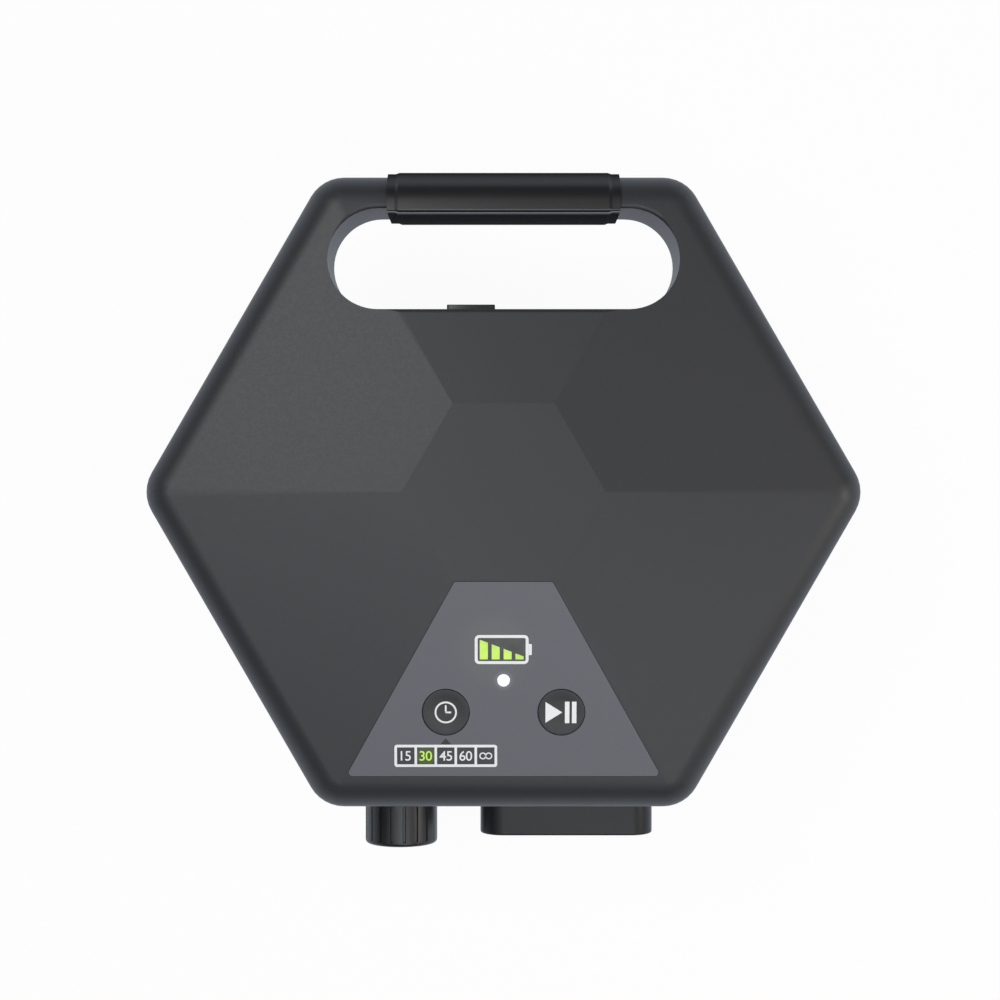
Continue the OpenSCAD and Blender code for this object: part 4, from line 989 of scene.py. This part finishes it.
class PUMP_OT_port(bpy.types.Operator):
    """Model the hose port and finish its nozzles"""

    bl_idname = "pump.port"
    bl_label = "Hose port"

    def execute(self, context):
        s = context.scene.pump_port
        low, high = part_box("hose_port")
        x, half_w, half_h = (low.x + high.x) / 2, PORT_W / 2, PORT_H / 2

        corner_loss = 0.6 * s.corner  # what a rounded corner takes off across and up together

        def outer(c, margin):
            """Whether a point of the mouth lies in the outer part of the wall."""
            across, up = abs(c.x - x), abs(c.z - PORT_Z)
            corner = half_w + half_h - corner_loss - margin
            return across > half_w - margin or up > half_h - margin or across + up > corner

        def lip(c, d):
            return c.y < low.y + CLOSE and outer(c, s.wall / 2)

        def mouth(c, d):
            at_front = c.y < low.y + CLOSE and abs(d.y) < CLOSE
            return at_front and not outer(c, s.wall - 0.3 * MM)

        obj = block(
            "port_collar",
            (x - half_w, low.y, PORT_Z - half_h),
            (x + half_w, high.y, PORT_Z + half_h),
        )
        pick(obj, "EDGE", lambda c, d: abs(d.y) > MM)
        bevel(s.corner, 14)
        done()
        pick(obj, "FACE", lambda c, n: n.y < -0.9)
        bpy.ops.mesh.inset(thickness=s.wall)
        push((0, PORT_DEPTH, 0))
        done()
        pick(obj, "EDGE", lip)
        bevel(s.lip, 6)
        done()
        pick(obj, "EDGE", mouth)
        bevel(0.3 * MM, 3)
        done()
        finish = moulded("Port plastic", s.colour, 0.4, 0.4 * MM, 0.01 * MM, specular=0.36)
        finish_piece(obj, "case", "case_grey", finish.mat, "hose_port", angle=35)
        white = moulded("Nozzle plastic", (0.70, 0.70, 0.68), 0.35, 0.5 * MM, 0.005 * MM)
        dress(["nozzle_block", "air_nozzles", "valve_manifold"], white.mat)
        return {"FINISHED"}


class PUMP_OT_switch(bpy.types.Operator):
    """Model the rocker power switch in the floor of the hand slot"""

    bl_idname = "pump.switch"
    bl_label = "Power switch"

    def execute(self, context):
        s = context.scene.pump_switch
        low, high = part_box("switch_frame")
        x, top, z = (low.x + high.x) / 2, high.y, (low.z + high.z) / 2
        half_w, half_l = (high.x - low.x) / 2, (high.z - low.z) / 2
        well, body, body_step = 7 * MM, 14 * MM, 1.1 * MM
        floor = top - 1.7 * MM  # where the bezel lies on the slot's floor
        plastic = moulded("Switch plastic", s.colour, 0.35, 0.3 * MM, 0.006 * MM)

        def rim(c, d):
            at_top = c.y > top - CLOSE and abs(d.y) < CLOSE
            return at_top and (abs(c.x - x) > half_w - MM or abs(c.z - z) > half_l - MM)

        bezel = block(
            "switch_bezel", (x - half_w, floor, z - half_l), (x + half_w, top, z + half_l)
        )
        pick(bezel, "FACE", lambda c, n: n.y > 0.9)
        bpy.ops.mesh.inset(thickness=s.bezel - 0.2 * MM)
        push((0, -well, 0))
        done()
        pick(bezel, "EDGE", lambda c, d: abs(d.y) > MM and abs(c.x - x) > half_w - CLOSE)
        bevel(0.8 * MM, 4)
        done()
        pick(bezel, "EDGE", rim)
        bevel(0.3 * MM, 3)
        done()
        # the body behind the slot's floor
        pick(bezel, "FACE", lambda c, n: n.y < -0.9 and c.y > floor - CLOSE)
        bpy.ops.mesh.inset(thickness=body_step)
        push((0, -body, 0))
        done()
        finish_piece(bezel, "case", "switch_black", plastic.mat, "switch_frame")
        self.rocker(x, top, z, plastic.mat)
        return {"FINISHED"}

    def rocker(self, x, top, z, plastic):
        """The rocker, tipped towards one end and never over its frame."""
        half_w, reach, crest, under, taper = 5.4 * MM, 7.8 * MM, 0.6 * MM, 3 * MM, 0.93
        tilt, tip_reach, gap = radians(4.5), 7.95 * MM, 0.1 * MM
        pivot_y = top - crest - tip_reach * sin(2 * tilt) - gap
        obj = block("rocker_cap", (-half_w, -under, -reach), (half_w, crest, reach))
        cut(obj, (0, 0, 0), (0, 0, 1))
        # its face falls to the middle, and its ends draw in below
        for corner in obj.data.vertices:
            if corner.co.y > 0:
                corner.co.y = crest + abs(corner.co.z) * tan(tilt)
            elif abs(corner.co.z) > MM:
                corner.co.z *= taper

        def border(c, d):
            return c.y > 0 and (abs(c.x) > half_w * 0.9 or abs(c.z) > reach * 0.9)

        pick(obj, "EDGE", border)
        bevel(0.35 * MM, 3)
        done()
        place(obj, Matrix.Translation((x, pivot_y, z)) @ Matrix.Rotation(tilt, 4, "X"))
        finish_piece(obj, "rocker", "switch_black", plastic, "switch_rocker")


class PUMP_OT_fittings(bpy.types.Operator):
    """Finish the charging socket, the feet and the case screws"""

    bl_idname = "pump.fittings"
    bl_label = "Socket, feet and screws"

    def execute(self, context):
        black = moulded("Socket plastic", (0.014, 0.014, 0.014), 0.4, 0.3 * MM)
        dress(["charging_socket"], black.mat)
        dress(["socket_pin"], metal("Contact brass", (0.72, 0.56, 0.3), 0.25).mat)
        foot = rubber("Foot rubber", (0.010, 0.010, 0.010), 0.75, 0.4 * MM)
        dress(["feet", "pump_mounts"], foot.mat)
        steel = metal("Screw steel", (0.55, 0.55, 0.57), 0.32, (1, 1, 1), 1500.0)
        dress(["case_screws", "keypad_screws", "port_screws", "board_screws"], steel.mat)
        return {"FINISHED"}


class PUMP_OT_insides(bpy.types.Operator):
    """Finish the boards, battery, pump and valves inside the case"""

    bl_idname = "pump.insides"
    bl_label = "Insides"

    def execute(self, context):
        board = circuit("Circuit board", (0.012, 0.110, 0.040))
        dress(["keypad_board", "main_board"], board.mat)
        chips = moulded("Chip plastic", (0.016, 0.016, 0.018), 0.3, 0.3 * MM)
        dress(["key_switches", "board_parts", "pressure_sensor"], chips.mat)
        dress(["panel_leds"], gloss("Lamp lens", (0.85, 0.85, 0.75), 0.2).mat)
        tray = moulded("Tray plastic", (0.50, 0.50, 0.47), 0.5, 0.5 * MM)
        dress(["battery_tray"], tray.mat)
        dress(["battery_cells"], gloss("Cell wrap", (0.045, 0.13, 0.42), 0.3).mat)
        can = metal("Motor steel", (0.50, 0.51, 0.53), 0.34, (1, 30, 1), 500.0)
        dress(["pump_motor", "solenoid_valves"], can.mat)
        bright = metal("Shaft steel", (0.66, 0.66, 0.68), 0.24, (1, 1, 1), 900.0)
        dress(["pump_crankshaft", "pump_bracket"], bright.mat)
        dress(["pump_head"], once("Cast metal", cast, CAST_GREY))
        hose = clear_hose("Hose silicone", (0.72, 0.72, 0.70))
        dress(["valve_hoses", "supply_hose"], hose.mat)
        dress(["intake_filter"], foam("Filter foam", (0.06, 0.06, 0.065)).mat)
        return {"FINISHED"}


def overhead(azimuth, polar, aim, reach=1.5):
    """A place round what a light aims at, from its azimuth and its angle off the vertical."""
    a, p = radians(azimuth), radians(polar)
    return Vector((reach * sin(p) * cos(a), reach * sin(p) * sin(a), reach * cos(p))) + Vector(aim)


def softbox(name, centre, aim, size, power, colour):
    """A large square light that faces a point."""
    light = bpy.data.lights.new(name, "AREA")
    light.shape = "SQUARE"
    light.size = size
    light.energy = power
    light.color = colour
    obj = bpy.data.objects.new(name, light)
    bpy.context.scene.collection.objects.link(obj)
    obj.location = centre
    obj.rotation_mode = "QUATERNION"
    obj.rotation_quaternion = (Vector(aim) - Vector(centre)).to_track_quat("-Z", "Y")
    return obj


class PUMP_OT_stage(bpy.types.Operator):
    """Set up the floor, the lights and the camera"""

    bl_idname = "pump.stage"
    bl_label = "Stage"

    def execute(self, context):
        s = context.scene.pump_stage
        scene = context.scene
        # a round floor whose edge curves up into the backdrop
        floor = disc("floor", s.reach, 96)
        pick(floor, "FACE", lambda c, n: True)
        push((0, 0, s.lift))
        done()
        pick(floor, "FACE", lambda c, n: abs(n.z) > 0.9 and c.z > s.lift / 2)
        bpy.ops.mesh.delete(type="ONLY_FACE")
        done()
        pick(floor, "EDGE", lambda c, d: c.z < MM and abs(d.z) < MM)
        bevel(s.lift / 2, 6)
        bpy.ops.mesh.select_all(action="SELECT")
        bpy.ops.mesh.normals_make_consistent(inside=True)
        done()
        bpy.ops.object.shade_smooth_by_angle(angle=radians(30))
        floor.data.materials.append(self.paper(s))

        world = bpy.data.worlds.new("Studio")
        world.use_nodes = True
        sky = world.node_tree.nodes["Background"]
        sky.inputs["Color"].default_value = (0.96, 0.98, 1.0, 1)
        sky.inputs["Strength"].default_value = s.sky
        scene.world = world

        aim, size = (0, 0, 0.07), 0.45
        warm, cool, cooler = (1.0, 1.0, 0.97), (0.94, 0.97, 1.0), (0.92, 0.96, 1.0)
        for name, turn, tilt, power, colour in (
            ("Key softbox", 135, 30, s.key, warm),
            ("Left softbox outer", 180, 30, s.left * 0.58, cool),
            ("Left softbox inner", 180, 15, s.left * 0.42, cool),
            ("Front softbox", 270, 15, s.front, cooler),
            ("Right softbox", 315, 30, s.right, cool),
            ("Back softbox", 45, 30, s.back, warm),
            ("Side softbox", 0, 50, s.side, (1.0, 0.96, 0.90)),
        ):
            softbox(name, overhead(turn, tilt, aim), aim, size, power, colour)
        # one low lamp for the knob's and the port's right sides
        low_place, low_aim = (0.72, -0.12, 0.47), (0, -0.11, 0.05)
        softbox("Low softbox", low_place, low_aim, 0.3, s.low, (1.0, 0.93, 0.84))

        # the camera looks straight down on the control face
        camera = bpy.data.cameras.new("Camera")
        camera.lens = 70.2
        camera.sensor_width = 36.0
        camera.clip_start, camera.clip_end = 0.05, 20.0
        eye = bpy.data.objects.new("Camera", camera)
        scene.collection.objects.link(eye)
        eye.location = (-1.12 * MM, 5.40 * MM, 696.6 * MM)
        scene.camera = eye
        scene.view_settings.view_transform = "Standard"
        return {"FINISHED"}

    @staticmethod
    def paper(s):
        """White paper that keeps a faint shadow and shows white in gloss and glass."""
        f = Finish("Floor paper", s.floor, 0.9, specular=0.1)
        f.vary(f.noise(3.0, 2.0), 0.995, 1.005)
        path = f.node("ShaderNodeLightPath")
        seen = f.math("MAXIMUM", path.outputs["Is Camera Ray"], path.outputs["Is Glossy Ray"])
        seen = f.math("MAXIMUM", seen, path.outputs["Is Transmission Ray"])
        white = f.node("ShaderNodeEmission", Strength=1.0)
        # gloss mirrors a slightly blue studio, the eye sees white
        glow = f.mix((0.82, 0.89, 1.0), (1, 1, 1), path.outputs["Is Camera Ray"])
        f.link(glow.outputs["Result"], white.inputs["Color"])
        mix = f.node("ShaderNodeMixShader")
        f.link(f.math("MULTIPLY", seen, s.backdrop), mix.inputs["Fac"])
        f.link(f.shader.outputs[0], mix.inputs[1])
        f.link(white.outputs[0], mix.inputs[2])
        f.link(mix.outputs[0], f.tree.nodes["Material Output"].inputs["Surface"])
        return f.mat


STEPS = (
    PUMP_OT_case,
    PUMP_OT_grip,
    PUMP_OT_panel,
    PUMP_OT_knob,
    PUMP_OT_port,
    PUMP_OT_switch,
    PUMP_OT_fittings,
    PUMP_OT_insides,
    PUMP_OT_stage,
)
SETTINGS = {
    "pump_case": CaseSettings,
    "pump_grip": GripSettings,
    "pump_panel": PanelSettings,
    "pump_knob": KnobSettings,
    "pump_port": PortSettings,
    "pump_switch": SwitchSettings,
    "pump_stage": StageSettings,
}


class PUMP_PT_sidebar(bpy.types.Panel):
    """Lists the pump's pieces and their settings"""

    bl_idname = "PUMP_PT_sidebar"
    bl_label = "Compression pump"
    bl_space_type = "VIEW_3D"
    bl_region_type = "UI"
    bl_category = "Pump"

    def draw(self, context):
        for step in STEPS:
            self.layout.operator(step.bl_idname)
        for key, group in SETTINGS.items():
            column = self.layout.box().column()
            for setting in group.__annotations__:
                column.prop(getattr(context.scene, key), setting)


def register():
    for group in SETTINGS.values():
        bpy.utils.register_class(group)
    for key, group in SETTINGS.items():
        setattr(bpy.types.Scene, key, bpy.props.PointerProperty(type=group))
    for step in STEPS:
        bpy.utils.register_class(step)
    bpy.utils.register_class(PUMP_PT_sidebar)


def unregister():
    bpy.utils.unregister_class(PUMP_PT_sidebar)
    for step in reversed(STEPS):
        bpy.utils.unregister_class(step)
    for key, group in SETTINGS.items():
        delattr(bpy.types.Scene, key)
        bpy.utils.unregister_class(group)


def main():
    register()
    bpy.ops.pump.case()
    bpy.ops.pump.grip()
    bpy.ops.pump.panel()
    bpy.ops.pump.knob()
    bpy.ops.pump.port()
    bpy.ops.pump.switch()
    bpy.ops.pump.fittings()
    bpy.ops.pump.insides()
    bpy.ops.pump.stage()


if __name__ == "__main__":
    main()
